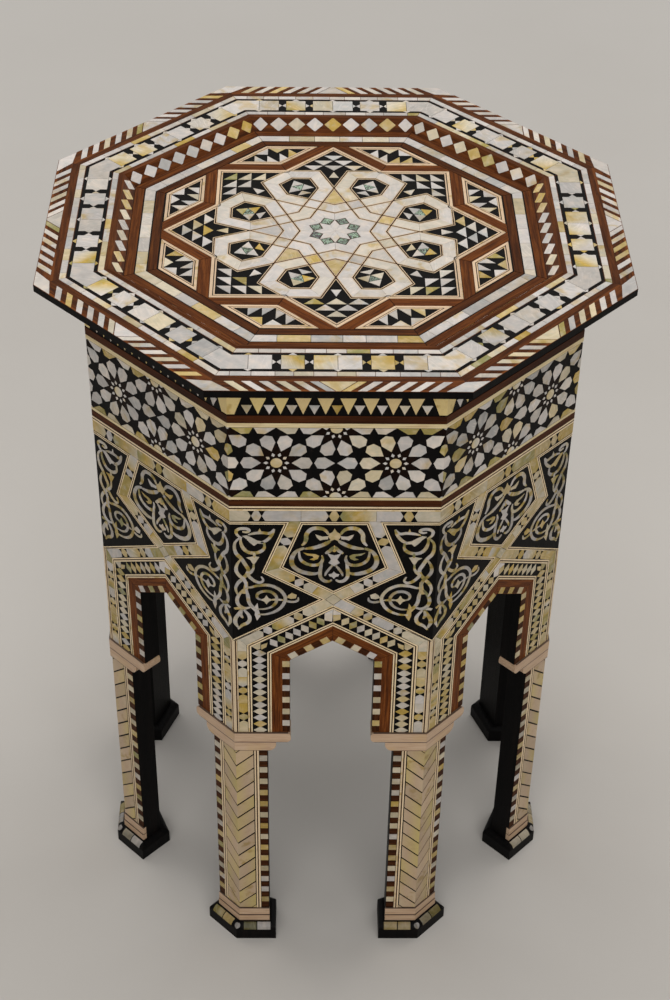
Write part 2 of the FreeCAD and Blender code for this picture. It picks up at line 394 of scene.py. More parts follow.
def within(outline, window):
    """The part of an outline inside a window with no inward corners."""
    for (x0, y0), (x1, y1) in edges(tidy(window)):
        a, b = y1 - y0, x0 - x1
        outline = trim(outline, a, b, a * x0 + b * y0)
        if len(outline) < 3:
            return []
    return outline


print("half of a square of 10 has area", spread(trim([(0, 0), (10, 0), (10, 10), (0, 10)], 1, 0, 5)))

# %% [markdown]
# A saw cut takes away a little wood on every side of a piece, so an outline has to shrink by a fixed
# distance. Scaling it about its middle would leave wide joints at the tips. Moving each edge inwards
# and finding the new corners keeps the joint the same all round.

# %% Insets
def inset(outline, gaps):
    """An anticlockwise outline moved inwards, by one distance or by one for each edge."""
    gaps = gaps if isinstance(gaps, list) else [gaps] * len(outline)
    normals = [((y0 - y1) / math.dist((x0, y0), (x1, y1)), (x1 - x0) / math.dist((x0, y0), (x1, y1)))
               for (x0, y0), (x1, y1) in edges(outline)]
    moved = []
    for i, (x, y) in enumerate(outline):
        (ax, ay), (bx, by) = normals[i - 1], normals[i]
        da, db, turn = gaps[i - 1], gaps[i], ax * by - ay * bx
        if abs(turn) < 0.02:
            moved.append((x + ax * da, y + ay * da))
        else:
            moved.append((x + (da * by - db * ay) / turn, y + (db * ax - da * bx) / turn))
    return moved


def same_way(first, second):
    """Whether two outlines have edges that run the same way, so that neither is folded over."""
    return all((b0[0] - a0[0]) * (b1[0] - a1[0]) + (b0[1] - a0[1]) * (b1[1] - a1[1]) > 0
               for (a0, b0), (a1, b1) in zip(edges(first), edges(second)))


def shrunk(outline, gaps):
    """As inset, but by less where the outline is too small for it."""
    for _ in range(7):
        made = inset(outline, gaps)
        if spread(made) > 0.15 * spread(outline) and same_way(outline, made):
            return made
        gaps = [g / 2 for g in gaps]
    return outline


print("a square of 10, inset by 1, has area", spread(inset([(0, 0), (10, 0), (10, 10), (0, 10)], 1.0)))

# %% [markdown]
# Thin strips of bone and red wood frame most fields, with mitred corners. A strip lies between two
# insets of the same line, so the helpers for closed and open lines both draw such a pair. A curve
# with a width would be quicker, but its corners would not be cut as a maker cuts them.

# %% Strips
def border(outline, outer, inner):
    """Mitred strips along all edges of an outline, between two distances inside it."""
    a, b = inset(tidy(outline), outer), inset(tidy(outline), inner)
    return [[a[i - 1], a[i], b[i], b[i - 1]] for i in range(len(a))]


def beside(line, distance):
    """An open line moved to its left, with mitred bends."""
    moved = []
    for i, (x, y) in enumerate(line):
        near = line[max(i - 1, 0):i + 2]
        runs = [(q[0] - p[0], q[1] - p[1]) for p, q in zip(near, near[1:])]
        ways = [(-dy / math.hypot(dx, dy), dx / math.hypot(dx, dy)) for dx, dy in runs]
        nx, ny = sum(w[0] for w in ways) / len(ways), sum(w[1] for w in ways) / len(ways)
        size = max(nx * nx + ny * ny, 0.1)
        moved.append((x + nx * distance / size, y + ny * distance / size))
    return moved


def rule(line, near, far):
    """Mitred strips along an open line, between two distances to its left."""
    a, b = beside(line, near), beside(line, far)
    return [[a[i], a[i + 1], b[i + 1], b[i]] for i in range(len(a) - 1)]


print("a strip along a line of 3 points has", len(rule([(0, 0), (10, 0), (10, 10)], 0.0, 1.0)), "pieces")

# %% [markdown]
# ## From outlines to pieces
# A bed is a flat face that is inlaid: a point and two directions. Object transforms could place a
# flat drawing as well, but then each bed would need its own object at its own angle. With a bed,
# all points are worked out in the table's own frame, and every object stays at the origin.

# %% Beds
class Bed:
    """A flat place on the table, with a direction to the right and one up."""

    def __init__(self, origin, right, up):
        self.origin, self.right, self.up = Vector(origin), Vector(right).normalized(), Vector(up).normalized()
        self.out = self.right.cross(self.up)

    def place(self, a, b, lift):
        return (self.origin + self.right * a + self.up * b + self.out * lift) / 1000


def side_bed(k):
    c, s = math.cos(k * EIGHTH), math.sin(k * EIGHTH)
    return Bed((BODY * s, -BODY * c, 0), (c, s, 0), (0, 0, 1))


def top_bed(z):
    return Bed((0, 0, z), (1, 0, 0), (0, 1, 0))


print("front bed faces", tuple(side_bed(0).out))

# %% [markdown]
# The maker keeps a mixed heap of shells beside the bench and picks one for each piece. The heaps
# here differ from place to place: the top and the frieze are white, the legs are warm, and some
# sides got more golden shells than others. A golden stain often lies at one end of a piece only.

# %% Heaps of shells
WHITE_SHELLS = PINK, PINK, PINK, PINK, CREAM, GREY
WARM_SHELLS = CREAM, CREAM, CREAM - 0.1, PINK, PINK
GOLDEN_SHELLS = CREAM, CREAM + 0.12, GOLD - 0.1, GOLD, OLIVE - 0.12
DULL_SHELLS = PINK, PINK, CREAM, GREY + 0.1, OLIVE - 0.1
SIDE_SHELLS = (WARM_SHELLS, GOLDEN_SHELLS, WARM_SHELLS, DULL_SHELLS,
               GOLDEN_SHELLS, WARM_SHELLS, WARM_SHELLS, DULL_SHELLS)


def shell(chance, odd, usual):
    """The tint of a piece of pearl. odd is the share of golden and olive ones."""
    if chance.random() < odd:
        return chance.choice((GOLD, GOLD, GOLD, OLIVE)) - chance.random() * 0.12
    return abs(chance.choice(usual) + chance.uniform(-0.08, 0.08))


def fade(p, q, first, last):
    """A tint that changes along the way from p to q, for a piece with a stain at one end."""
    dx, dy = q[0] - p[0], q[1] - p[1]

    def tint(a, b):
        share = ((a - p[0]) * dx + (b - p[1]) * dy) / (dx * dx + dy * dy)
        return first + (last - first) * min(1, max(0, share))
    return tint


picked = [round(shell(random.Random(i), 0.1, WHITE_SHELLS), 2) for i in range(3)]
print("three shells from the white heap:", picked)

# %% [markdown]
# A tray collects the pieces of one bed and makes one mesh of them. One object per piece would work too,
# but thousands of objects are slow. The three numbers of a piece are kept on its points, and two
# maps on its faces: Grain for the finish, and OFBake, which is the plan of the bed, for baking the
# finish into a picture. The hidden backs share a narrow strip of that plan.

# %% A tray of pieces
PROUD = 0.24
MAP_EDGE, MAP_WIDE, BACKS_HIGH, FRONTS_LOW, FRONTS_HIGH = 0.005, 0.99, 0.035, 0.055, 0.94


class Tray:
    """The pieces of one bed, gathered into one mesh. Pieces meet round a corner at edge, bright scales
    their shades, and slide moves pieces on the map for baking, where they would lie on others."""

    def __init__(self, name, bed, seed, proud=PROUD, slot="pale_inlay", usual=WHITE_SHELLS, edge=None,
                 bright=1.0):
        self.name, self.bed, self.proud, self.slot = name, bed, proud, slot
        self.usual, self.edge, self.bright = usual, edge, bright
        self.chance = random.Random(seed)
        self.points, self.faces, self.flat, self.grain, self.cut_of, self.stuff_of = [], [], [], [], [], []
        self.used, self.count, self.slide = [], 0, (0.0, 0.0)

    def mesh_piece(self, rings, faces, stuff, tint, shade, way, fine=1.0):
        """Adds points (a, b, lift) and faces. Faces marked as hidden take a small strip of the map.
        tint is one number, or one for each point."""
        first, luck = len(self.points), self.chance.random()
        dx, dy = self.chance.uniform(0, 900), self.chance.uniform(0, 900)
        c, s = fine * math.cos(way), fine * math.sin(way)
        if stuff not in self.used:
            self.used.append(stuff)
        for i, (a, b, lift) in enumerate(rings):
            self.points.append(self.bed.place(a, b, lift))
            self.cut_of += (shade, tint[i] if isinstance(tint, list) else tint, luck)
        for face, hidden in faces:
            self.faces.append([first + i for i in face])
            self.stuff_of.append(self.used.index(stuff))
            for i in face:
                a, b, _ = rings[i]
                self.flat.append((a + self.slide[0], b + self.slide[1], hidden))
                self.grain += (c * a + s * b + dx, c * b - s * a + dy)
        self.count += 1

    def tone(self, stuff, tint, shade, odd):
        """The tint and shade of a piece, drawn at random where they aren't given."""
        if tint is None:
            tint = shell(self.chance, odd, self.usual) if stuff == "pearl" else self.chance.uniform(0, 0.5)
        return tint, self.chance.random() * self.bright if shade is None else shade

    def glue(self):
        """Makes the mesh, with its map for baking, OFBake, and the map of the grain."""
        mesh = bpy.data.meshes.new(self.name)
        mesh.from_pydata(self.points, [], self.faces)
        for stuff in self.used:
            mesh.materials.append(STUFF[stuff])
        mesh.polygons.foreach_set("material_index", self.stuff_of)
        mesh.attributes.new("cut", "FLOAT_VECTOR", "POINT").data.foreach_set("vector", self.cut_of)
        (a0, a1), (b0, b1) = ((min(f[i] for f in self.flat), max(f[i] for f in self.flat)) for i in (0, 1))
        bake = []
        for a, b, hidden in self.flat:
            v = (b - b0) / (b1 - b0)
            bake += (MAP_EDGE + MAP_WIDE * (a - a0) / (a1 - a0),
                     MAP_EDGE + BACKS_HIGH * v if hidden else FRONTS_LOW + FRONTS_HIGH * v)
        for name, values in (("OFBake", bake), ("Grain", self.grain)):
            mesh.uv_layers.new(name=name).data.foreach_set("uv", values)
        mesh.update()
        made = bpy.data.objects.new(self.name, mesh)
        bpy.context.scene.collection.objects.link(made)
        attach(made, "root")


print("pieces stand", PROUD, "mm out of their bed")

# %% [markdown]
# Each piece is a thin tile with sloping sides that stands a quarter of a millimetre out of its bed, and
# its back is let in. Pieces could also be drawn as a pattern in a material, and then their edges would
# blur and could not catch the light. At a corner of the table a piece has no joint and reaches out a
# little, so that it meets the piece on the next side.

# %% Sawing pieces
LET_IN, JOINT, SLOPE = 0.3, 0.30, 0.14
SMALLEST, EDGE_REACH = 0.25, 0.02


class Inlay(Tray):
    """A tray whose pieces are sawn flat, from outlines."""

    def cut(self, outline, stuff, tint=None, shade=None, way=None, gaps=None, odd=0.14, joint=JOINT,
            slope=SLOPE, lift=None):
        """One sawn piece. gaps gives the joint along each edge, where they differ, and lift a height
        of its own."""
        outline = tidy(outline) if gaps is None else outline
        if len(outline) < 3 or spread(outline) < SMALLEST:
            return
        thick = 2 * spread(outline) / sum(math.dist(p, q) for p, q in edges(outline))
        gaps = list(gaps or [min(joint, 0.26 * thick) / 2] * len(outline))
        slopes = [min(slope, 0.12 * thick)] * len(outline)
        for i, (p, q) in enumerate(edges(outline)):
            if self.edge and min(abs(p[0]), abs(q[0])) > self.edge - EDGE_REACH:
                gaps[i], slopes[i] = -self.proud * SLANT, 0.0
        base = shrunk(outline, gaps)
        face = shrunk(base, slopes)
        tint, shade = self.tone(stuff, tint, shade, odd)
        if callable(tint):
            tint = [tint(a, b) for a, b in base + face]
        if way is None:
            p, q = max(edges(outline), key=lambda e: math.dist(*e))
            way = math.atan2(q[1] - p[1], q[0] - p[0])
            if stuff in ("pearl", "green"):
                way = self.chance.uniform(0, math.pi)
        n = len(base)
        lift = self.proud if lift is None else lift
        rings = [(a, b, -LET_IN) for a, b in base] + [(a, b, lift) for a, b in face]
        faces = [([i, (i + 1) % n, n + (i + 1) % n, n + i], False) for i in range(n)]
        faces += [(list(range(n, 2 * n)), False), (list(range(n - 1, -1, -1)), True)]
        self.mesh_piece(rings, faces, stuff, tint, shade, way)

    def cut_all(self, outlines, stuff, **kind):
        for outline in outlines:
            self.cut(outline, stuff, **kind)


def count(trays):
    """How much has been cut so far."""
    return f"{sum(tray.count for tray in trays)} pieces, {sum(len(tray.faces) for tray in trays)} faces"


print("pieces are let in by", LET_IN, "mm, with joints of", JOINT)

# %% [markdown]
# ## The rim of the top
# The rim carries rows that run round the table: slanted stripes, a pearl line, a band of stars
# and blocks on black, and a second pearl line. Each row is drawn once for the front side, with
# y as minus the distance from the middle, and is then turned seven times. Trimming along the
# two mitre lines lets a row meet its neighbour at the corner.

# %% Rows on the rim
def mitred(outline):
    """A piece of one side's row, cut along the lines to the two corners."""
    return trim(trim(outline, 1, SLANT, 0), -1, SLANT, 0)


def bar(s0, s1, r0, r1):
    """A straight piece of a row, between two distances from the middle."""
    return mitred([(s0, -r0), (s1, -r0), (s1, -r1), (s0, -r1)])


def row(tray, k, r0, r1, length, **kind):
    """A row of pearl pieces about as long as length, with mitred ends."""
    reach = max(r0, r1) * SLANT
    at = -reach - 0.5 * length * tray.chance.random()
    while at < reach:
        end = at + length * tray.chance.uniform(0.8, 1.2)
        if reach - end < 0.4 * length:
            end = reach + 1
        tray.cut(spin(bar(at, end, r0, r1), k), "pearl", **kind)
        at = end


PEARL_LINES = (178.6, 174.2, 13.5), (154.5, 150.4, 15.0)
rim = [Inlay(f"rim_inlay_{k + 1}", top_bed(RAIL_TOP), 20 + k) for k in range(8)]
for k, tray in enumerate(rim):
    for r0, r1, length in PEARL_LINES:
        row(tray, k, r0, r1, length, odd=0.04, joint=0.12)
print("pearl lines:", count(rim))

# %% [markdown]
# The outermost row is made of stripes that lean away from the middle of each side, like the strands
# of a rope. A wedge stands in the middle and a kite on each corner. An array modifier could repeat
# a stripe, but the last ones are cut by the mitre, so each is drawn and trimmed on its own.

# %% Slanted stripes
STRIPE_OUT, STRIPE_IN = RIM - 0.1, 184.0
STRIPE_WIDE, STRIPE_PITCH, FIRST_STRIPE, KITE = 6.1, 10.5, 21.2, 16.6


def slanted(foot, wide):
    """A stripe from the inner to the outer edge of the row, that leans over on its way out."""
    lean = STRIPE_IN - STRIPE_OUT
    return [(foot, -STRIPE_IN), (foot + wide, -STRIPE_IN),
            (foot + wide + lean, -STRIPE_OUT), (foot + lean, -STRIPE_OUT)]


WEDGE = [(-11.5, -STRIPE_IN), (11.5, -STRIPE_IN), (1.4, -STRIPE_OUT), (-1.4, -STRIPE_OUT)]
tip_out, tip_in = (STRIPE_OUT * SLANT, -STRIPE_OUT), (STRIPE_IN * SLANT, -STRIPE_IN)
along = tip_out[0] - KITE
for k, tray in enumerate(rim):
    for turned in BOTH_HANDS:
        for i in range(5):
            stripe = mitred(slanted(FIRST_STRIPE + STRIPE_PITCH * i, STRIPE_WIDE))
            tray.cut(spin(turned(stripe), k), "pearl", odd=0.06)
        tray.cut(spin(turned(slanted(11.7, 5.8)), k), "pearl", odd=0.35)
    tray.cut(spin(WEDGE, k), "pearl", odd=0.0)
    kite = [(along, -STRIPE_OUT), tip_out, *spin([(-along, -STRIPE_OUT)], 1), tip_in]
    tray.cut(spin(kite, k), "pearl", odd=0.0)
print("with stripes:", count(rim))

# %% [markdown]
# Between the two pearl lines, a black band carries squares with four small tips, which read as stars,
# and longer blocks with tips at their ends. On the real table the tips are pieces of their own, and
# often from the same shell as their square, so here they are cut one by one and share a tint.

# %% The band of stars and blocks
STAR_R, STAR_S, STAR_HALF, TIP = 164.3, 27.4, 7.2, 3.0
BLOCK_HALF, MID_BLOCK, BLOCK_IN, BLOCK_OUT, TIP_HALF = 7.4, 14.8, 40.0, 54.6, 2.8


def tip(x, y, way, half=TIP, long=TIP):
    """A small triangle that points along one of the four directions."""
    dx, dy = ((1, 0), (0, 1), (-1, 0), (0, -1))[way]
    return [(x + dy * half, y - dx * half), (x + dx * long, y + dy * long), (x - dy * half, y + dx * half)]


def block(s0, s1, half):
    return [(s0, -STAR_R - half), (s1, -STAR_R - half), (s1, -STAR_R + half), (s0, -STAR_R + half)]


def tips_beside(s):
    """The two tips of a block that point inwards and outwards."""
    return [tip(s, -STAR_R + BLOCK_HALF, 1, TIP_HALF, 2.3), tip(s, -STAR_R - BLOCK_HALF, 3, TIP_HALF, 2.3)]


STAINED, SAME_SHELL = 0.3, 0.6


def with_tips(tray, k, body, tips):
    """A body with its tips. A tip is often sawn from the same shell as the body."""
    tint, shade = tray.tone("pearl", None, None, 0.05)
    stained = fade(*spin([body[0], body[2]], k), tint, tray.chance.choice((OLIVE, GOLD, GOLD)))
    stained = stained if tray.chance.random() < STAINED else tint
    tray.cut(spin(body, k), "pearl", tint=stained, shade=shade, joint=0.06)
    for shape in tips:
        same = {"tint": tint, "shade": shade} if tray.chance.random() < SAME_SHELL else {}
        tray.cut(spin(shape, k), "pearl", odd=0.6, joint=0.04, **same)


inner, outer = STAR_R - BLOCK_HALF, STAR_R + BLOCK_HALF
AROUND = [(BLOCK_OUT, -outer), (outer * SLANT, -outer),
          *spin([(-BLOCK_OUT, -outer), (-BLOCK_OUT, -inner)], 1),
          (inner * SLANT, -inner), (BLOCK_OUT, -inner)]
for k, tray in enumerate(rim):
    for s in (-STAR_S, STAR_S):
        with_tips(tray, k, block(s - STAR_HALF, s + STAR_HALF, STAR_HALF),
                  [tip(s + STAR_HALF, -STAR_R, 0), tip(s - STAR_HALF, -STAR_R, 2),
                   tip(s, -STAR_R + STAR_HALF, 1), tip(s, -STAR_R - STAR_HALF, 3)])
    for turned in BOTH_HANDS:
        with_tips(tray, k, turned(block(0, MID_BLOCK, BLOCK_HALF)),
                  [turned(tip(MID_BLOCK, -STAR_R, 0, TIP_HALF, 2.4))])
        tips = [tip(BLOCK_IN, -STAR_R, 2, TIP_HALF, 2.5), *tips_beside(BLOCK_OUT)]
        with_tips(tray, k, turned(block(BLOCK_IN, BLOCK_OUT, BLOCK_HALF)), [turned(t) for t in tips])
    with_tips(tray, k, AROUND, tips_beside(0))
print("with stars:", count(rim))

# %% [markdown]
# Under the stars lies black wood, and a thin red strip edges the rim. Both could be part of the
# rails' finish, but as strips of their own they have a crisp edge. They are lower than the pearl,
# so that the pieces stand out of them. Now all pieces of the rim become meshes.

# %% Glue the rim
SUNK, WHOLE_SIDE = 0.08, 90
BLACK_OUT, BLACK_IN, RED_EDGE = 174.1, 154.6, 2.0
bands = Inlay("rim_dark_bands", top_bed(RAIL_TOP), 5, proud=SUNK, slot="ebony")
for k in range(8):
    bands.cut(spin(bar(-WHOLE_SIDE, WHOLE_SIDE, BLACK_OUT, BLACK_IN), k), "black")
    edge = bar(-WHOLE_SIDE, WHOLE_SIDE, RIM - 0.05, RIM - RED_EDGE)
    bands.cut(spin(edge, k), "red", shade=0.5, joint=0.02, slope=0.03)
bands.glue()
for tray in rim:
    tray.glue()
print("rim:", count(rim))

# %% [markdown]
# ## The sloped wall
# The wall between the rim and the sunk field is red wood with a row of pearl lozenges. It has a
# bed of its own, that leans outwards, for each side. The lozenges could be squares that are turned and
# scaled, but they have slightly blunt tips, as a saw leaves them, so their outline is typed.

# %% Lozenges on the wall
WALL_FOOT, WALL_TOP = 139.0, 146.4
LOZENGE_PITCH, LOZENGE_HALF, LAST_HALF = 13.3, 6.1, 5.2
WALL = math.hypot(WALL_TOP - WALL_FOOT, LIP_TOP - FIELD_Z)


def wall_bed(k):
    c, s = math.cos(k * EIGHTH), math.sin(k * EIGHTH)
    out, up = WALL_TOP - WALL_FOOT, LIP_TOP - FIELD_Z
    return Bed((WALL_FOOT * s, -WALL_FOOT * c, FIELD_Z), (-c, -s, 0), (out * s, -out * c, up))


def lozenge(s, w):
    mid, h = WALL / 2, WALL * 0.455
    return [(s - w, mid - 0.3), (s - 0.5, mid - h), (s + 0.5, mid - h), (s + w, mid - 0.3),
            (s + w, mid + 0.3), (s + 0.5, mid + h), (s - 0.5, mid + h), (s - w, mid + 0.3)]


for k in range(8):
    tray = Inlay(f"wall_inlay_{k + 1}", wall_bed(k), 40 + k, proud=SUNK)
    for i in range(-4, 5):
        # Lozenge shades reach above the usual range: partly random tone, partly painted highlight for glints.
        tray.cut(lozenge(i * LOZENGE_PITCH, LOZENGE_HALF if abs(i) < 4 else LAST_HALF), "pearl", odd=0.35,
                 shade=tray.chance.uniform(0.5, 1.3), joint=0.1, slope=0.08)
    tray.glue()
print("wall slope is", round(WALL, 2), "mm long")

# %% [markdown]
# ## The sunk field
# The field is drawn like the geometric patterns of old: two squares make an eight-pointed star,
# and eight interlaced loops fill it. Rather than typing each cell, the lines of the loops are drawn
# and the closed cells between them are found by walking round them. Each line has a width, and
# a cell is cut smaller by half of it, so the dark ground shows as the line.

# %% Cells between lines
SAME_SPOT, SLACK = 0.25, 0.004


def cells(lines):
    """Every closed cell of a drawing. A line is two points and the gap it leaves on each side."""
    spots, joined = [], {}

    def spot(p):
        for i, q in enumerate(spots):
            if math.dist(p, q) < SAME_SPOT:
                return i
        spots.append(p)
        return len(spots) - 1

    for i, (p, q, gap) in enumerate(lines):
        dx, dy = q[0] - p[0], q[1] - p[1]
        at = {0.0, 1.0}
        for j, (a, b, _) in enumerate(lines):
            ex, ey = b[0] - a[0], b[1] - a[1]
            turn = dx * ey - dy * ex
            if i != j and abs(turn) > 1e-6:
                t = ((a[0] - p[0]) * ey - (a[1] - p[1]) * ex) / turn
                u = ((a[0] - p[0]) * dy - (a[1] - p[1]) * dx) / turn
                if -SLACK < t < 1 + SLACK and -SLACK < u < 1 + SLACK:
                    at.add(t)
        run = [spot((p[0] + t * dx, p[1] + t * dy)) for t in sorted(at)]
        for a, b in zip(run, run[1:]):
            if a != b:
                joined.setdefault(a, {})[b] = joined.setdefault(b, {})[a] = gap
    order = {a: sorted(bs, key=lambda b: math.atan2(spots[b][1] - spots[a][1], spots[b][0] - spots[a][0]))
             for a, bs in joined.items()}
    left, found = {(a, b) for a in joined for b in joined[a]}, []
    while left:
        a, b = min(left)
        walk = []
        while (a, b) in left:
            left.remove((a, b))
            walk.append((a, b))
            turns = order[b]
            a, b = b, turns[turns.index(a) - 1]
        outline = [spots[e[0]] for e in walk]
        if spread(outline) > 0:
            found.append((outline, [joined[e[0]][e[1]] for e in walk]))
    return found


halved = [(p, q, 0) for p, q in edges([(0, 0), (2, 0), (2, 2), (0, 2)])] + [((1, 0), (1, 2), 0)]
print("a halved square has", len(cells(halved)), "cells")

# %% [markdown]
# One loop is a strap that runs out towards a corner of the table, turns in a blunt point and comes
# back. Only the lines of its upper half are typed, seen from its axis. They are mirrored and turned
# seven times, and where the lines of neighbours cross, the small crossing cells come by themselves.

# %% Eight loops
STRAP_HALF, STRAP_WIDE, LINE, HAIR = 22.0, 10.3, 0.42, 0.03
STRAP_END, STRAP_TIP, HOLE_END, HOLE_TIP = 78.9, 88.0, 72.0, 76.9


def on_axis(k, u, v):
    """A point seen from the axis of a loop, which points at a corner of the table."""
    c, s = math.cos(EIGHTH / 2), math.sin(EIGHTH / 2)
    return spin([(u * c - v * s, u * s + v * c)], k)[0]


def on_loop(k, outline):
    return [on_axis(k, *p) for p in outline]


STEEP = math.tan(1.5 * EIGHTH)
FAR_LINE, HOLE_HALF = STRAP_HALF + STRAP_WIDE, STRAP_HALF - STRAP_WIDE
HOLE_U = (FAR_LINE + HOLE_HALF * math.sqrt(2) + FAR_LINE) / math.sqrt(2)
HOLE = [(HOLE_TIP, 0), (HOLE_END, HOLE_HALF), (HOLE_U, HOLE_HALF), (HOLE_U - HOLE_HALF, 0),
        (HOLE_U, -HOLE_HALF), (HOLE_END, -HOLE_HALF)]
elbow = STRAP_END, STRAP_HALF
LOOP_LINES = [
    ((STRAP_HALF / STEEP, STRAP_HALF), elbow, LINE), (elbow, (STRAP_TIP, 0), LINE),
    ((FAR_LINE / STEEP, FAR_LINE), (FAR_LINE + HOLE_HALF * math.sqrt(2), FAR_LINE), LINE),
    (HOLE[0], HOLE[1], LINE), (HOLE[1], HOLE[2], LINE), (HOLE[1], elbow, HAIR),
    (HOLE[2], (STRAP_HALF / SLANT, STRAP_HALF), HAIR),
]
drawing = []
for k in range(8):
    for v in (1, -1):
        drawing += [(on_axis(k, p[0], v * p[1]), on_axis(k, q[0], v * q[1]), gap) for p, q, gap in LOOP_LINES]
    drawing.append((on_axis(k, *HOLE[0]), on_axis(k, STRAP_TIP, 0), HAIR))
loops = cells(drawing)
print("loops:", len(drawing), "lines,", len(loops), "cells")

# %% [markdown]
# Each cell becomes a piece of pearl with strips of bone along its wide lines, and a red ground lies
# under all of them and shows as the thin line between. The six-sided holes of the loops stay open.
# Crossings and drops may be golden, while the long straps are cut from even white shell.

# %% Lay the loops
field = [Inlay(f"field_inlay_{k + 1}", top_bed(FIELD_Z), 60 + k) for k in range(8)]
ground = Inlay("field_ground", top_bed(FIELD_Z), 8, proud=SUNK, slot="rosewood")
EDGING = 0.95
FLUSH = {"joint": 0.0, "slope": 0.05}
EDGE_STRIP = {"tint": 0.3, **FLUSH}


def sector(outline):
    """Which loop's axis a piece is nearest to."""
    x, y = middle(outline)
    return round((math.atan2(y, x) - EIGHTH / 2) / EIGHTH) % 8


def lay(outline, stuff, **kind):
    field[sector(outline)].cut(outline, stuff, **kind)


def edged(outline, gaps):
    """Bone strips along the wide lines of a cell, and the gaps that are left for its pearl."""
    inner = [EDGING if gap == LINE else gap for gap in gaps]
    a, b = inset(outline, gaps), inset(outline, inner)
    for i, gap in enumerate(gaps):
        j = (i + 1) % len(gaps)
        if gap == LINE:
            lay([a[i], a[j], b[j], b[i]], "bone", **EDGE_STRIP)
    return inner


def even_shell(chance):
    """What a long piece of a strap is cut from."""
    return {"tint": PINK + chance.uniform(-0.05, 0.15), "shade": chance.uniform(0.55, 0.95), "slope": 0.05}


for outline, gaps in loops:
    x, y = middle(outline)
    r, off = math.hypot(x, y), abs(math.atan2(y, x) / EIGHTH % 1 - 0.5)
    hole = 56 < r < 68 and off < 0.02 and len(outline) == 6
    if hole:
        continue
    ground.cut(outline, "red", shade=-0.85, gaps=[0.0] * len(outline), slope=0.0)
    inner = edged(outline, gaps)
    if r < 4:
        core = outline
    else:
        drop = off > 0.42 and 36 < r < 54
        crosses = len(outline) == 4 and spread(outline) < 120
        plain = {} if drop or crosses else even_shell(field[sector(outline)].chance)
        lay(outline, "pearl", gaps=inner, odd=0.45 if drop else 0.3, **plain)
ground.glue()
print("the middle has", len(core), "corners; loops:", count(field))

# %% [markdown]
# Inside each loop a large triangle lies on black. It is made of three pearl triangles round one of
# green shell, and a small pearl triangle points at its foot. The middle of the field is a
# pearl star with eight lozenges of the same green shell round it.

# %% Triangles in the loops and the middle star
BIG = (73.4, 0.3), (59.2, 9.9), (59.0, -9.4)
SMALL = (58.3, 0.3), (53.2, 5.6), (53.0, -5.0)
GEM = (9.2, 0), (13.6, 4.9), (18.4, 0), (13.6, -4.9)
GEM_NOTCH = (13.6, 5.2), (18.8, 0), (13.6, -5.2)
CORE_GAPS = [EDGING, EDGING, 0.04, 0.04, 0.1, 0.1, 0.04, 0.04]
RAY, RAY_IN, RAY_GAP = 14.6, 8.6, 14.9
halfway = [middle((BIG[i], BIG[(i + 1) % 3])) for i in range(3)]


def round_middle(k, r):
    """A point between two loops, at a distance from the middle."""
    return r * math.cos(k * EIGHTH), r * math.sin(k * EIGHTH)


for k in range(8):
    for strip in border(HOLE, LINE, EDGING):
        lay(on_loop(k, strip), "bone", **EDGE_STRIP)
    for i in range(3):
        golden = GOLD if (2 * i + k) % 7 == 0 else None
        lay(on_loop(k, (BIG[i], halfway[i], halfway[i - 1])), "pearl", tint=golden, odd=0.05, joint=0.1)
    lay(on_loop(k, halfway), "green", joint=0.06)
    lay(on_loop(k, SMALL), "pearl", odd=0.05, joint=0.1)
    lay(on_loop(k, GEM), "green")
    ray = [round_middle(k, RAY), on_axis(k, RAY_IN, 0), (0, 0), on_axis(k - 1, RAY_IN, 0)]
    lay(ray, "pearl", gaps=[0.02] * 4, tint=PINK, shade=0.75, slope=0.03)
first = next(i for i, p in enumerate(core) if math.hypot(*p) < 27)
core = core[first:] + core[:first]
for i in range(0, len(core), 2):
    a, b, c = (core[(i + j) % len(core)] for j in range(3))
    k = sector([b])
    notch = on_loop(k, GEM_NOTCH)
    lay([a, b, c, round_middle(k + 1, RAY_GAP), *notch, round_middle(k, RAY_GAP)], "pearl",
        gaps=CORE_GAPS, tint=PINK, shade=0.6 + 0.1 * (k % 3), slope=0.05)
print("with the middle:", count(field))

# %% [markdown]
# The two squares have a frame of bone lines. In each of the star's eight points, squares of pearl
# and black are split across, so that rows of triangles step towards the loops. Counting steps along
# the two edges of a point gives every corner, with no need to draw the grid and find its cells.

# %% Star points
STAR, STEP = 82.1, 10.15
NOTCH, POINT = STAR / math.cos(EIGHTH / 2), STAR * math.sqrt(2)
STEPS_R = POINT - 3.8 * math.sqrt(2)
LAST_STEP = [(80.7, 0), (72.0, 3.8), (72.0, -3.8)]
LOOP_SHOULDER = (86.6, 2.4), (STRAP_END, STRAP_HALF), (55.0, STRAP_HALF)
FRAME_STRIP = {"tint": 0.45, "joint": 0.0, "slope": 0.08}
star = []
for k in range(8):
    star += [round_middle(k, POINT), round_middle(k + 0.5, NOTCH)]
for outer, inner in ((0.0, 2.1), (2.6, 3.7)):
    for strip in border(star, outer, inner):
        lay(strip, "bone", **FRAME_STRIP)


def step_at(k, i, j):
    """A corner of the squares in one point of the star, i and j steps from the point along its edges."""
    return spin([(STEPS_R - (i + j) * STEP / math.sqrt(2), (j - i) * STEP / math.sqrt(2))], k)[0]


for k, tray in enumerate(field):
    for i in range(3):
        for j in range(3 - i):
            half = [step_at(k, i + 1, j), step_at(k, i + 1, j + 1), step_at(k, i, j + 1)]
            tray.cut(half, "pearl", odd=0.10)
    tray.cut(spin(LAST_STEP, k), "pearl", odd=0.05)
    for v in (1, -1):
        outside = [on_axis(k, u, v * w) for u, w in LOOP_SHOULDER]
        tray.cut_all(rule(outside, -v * LINE, -v * EDGING), "bone", **EDGE_STRIP)
print("with the star:", count(field))

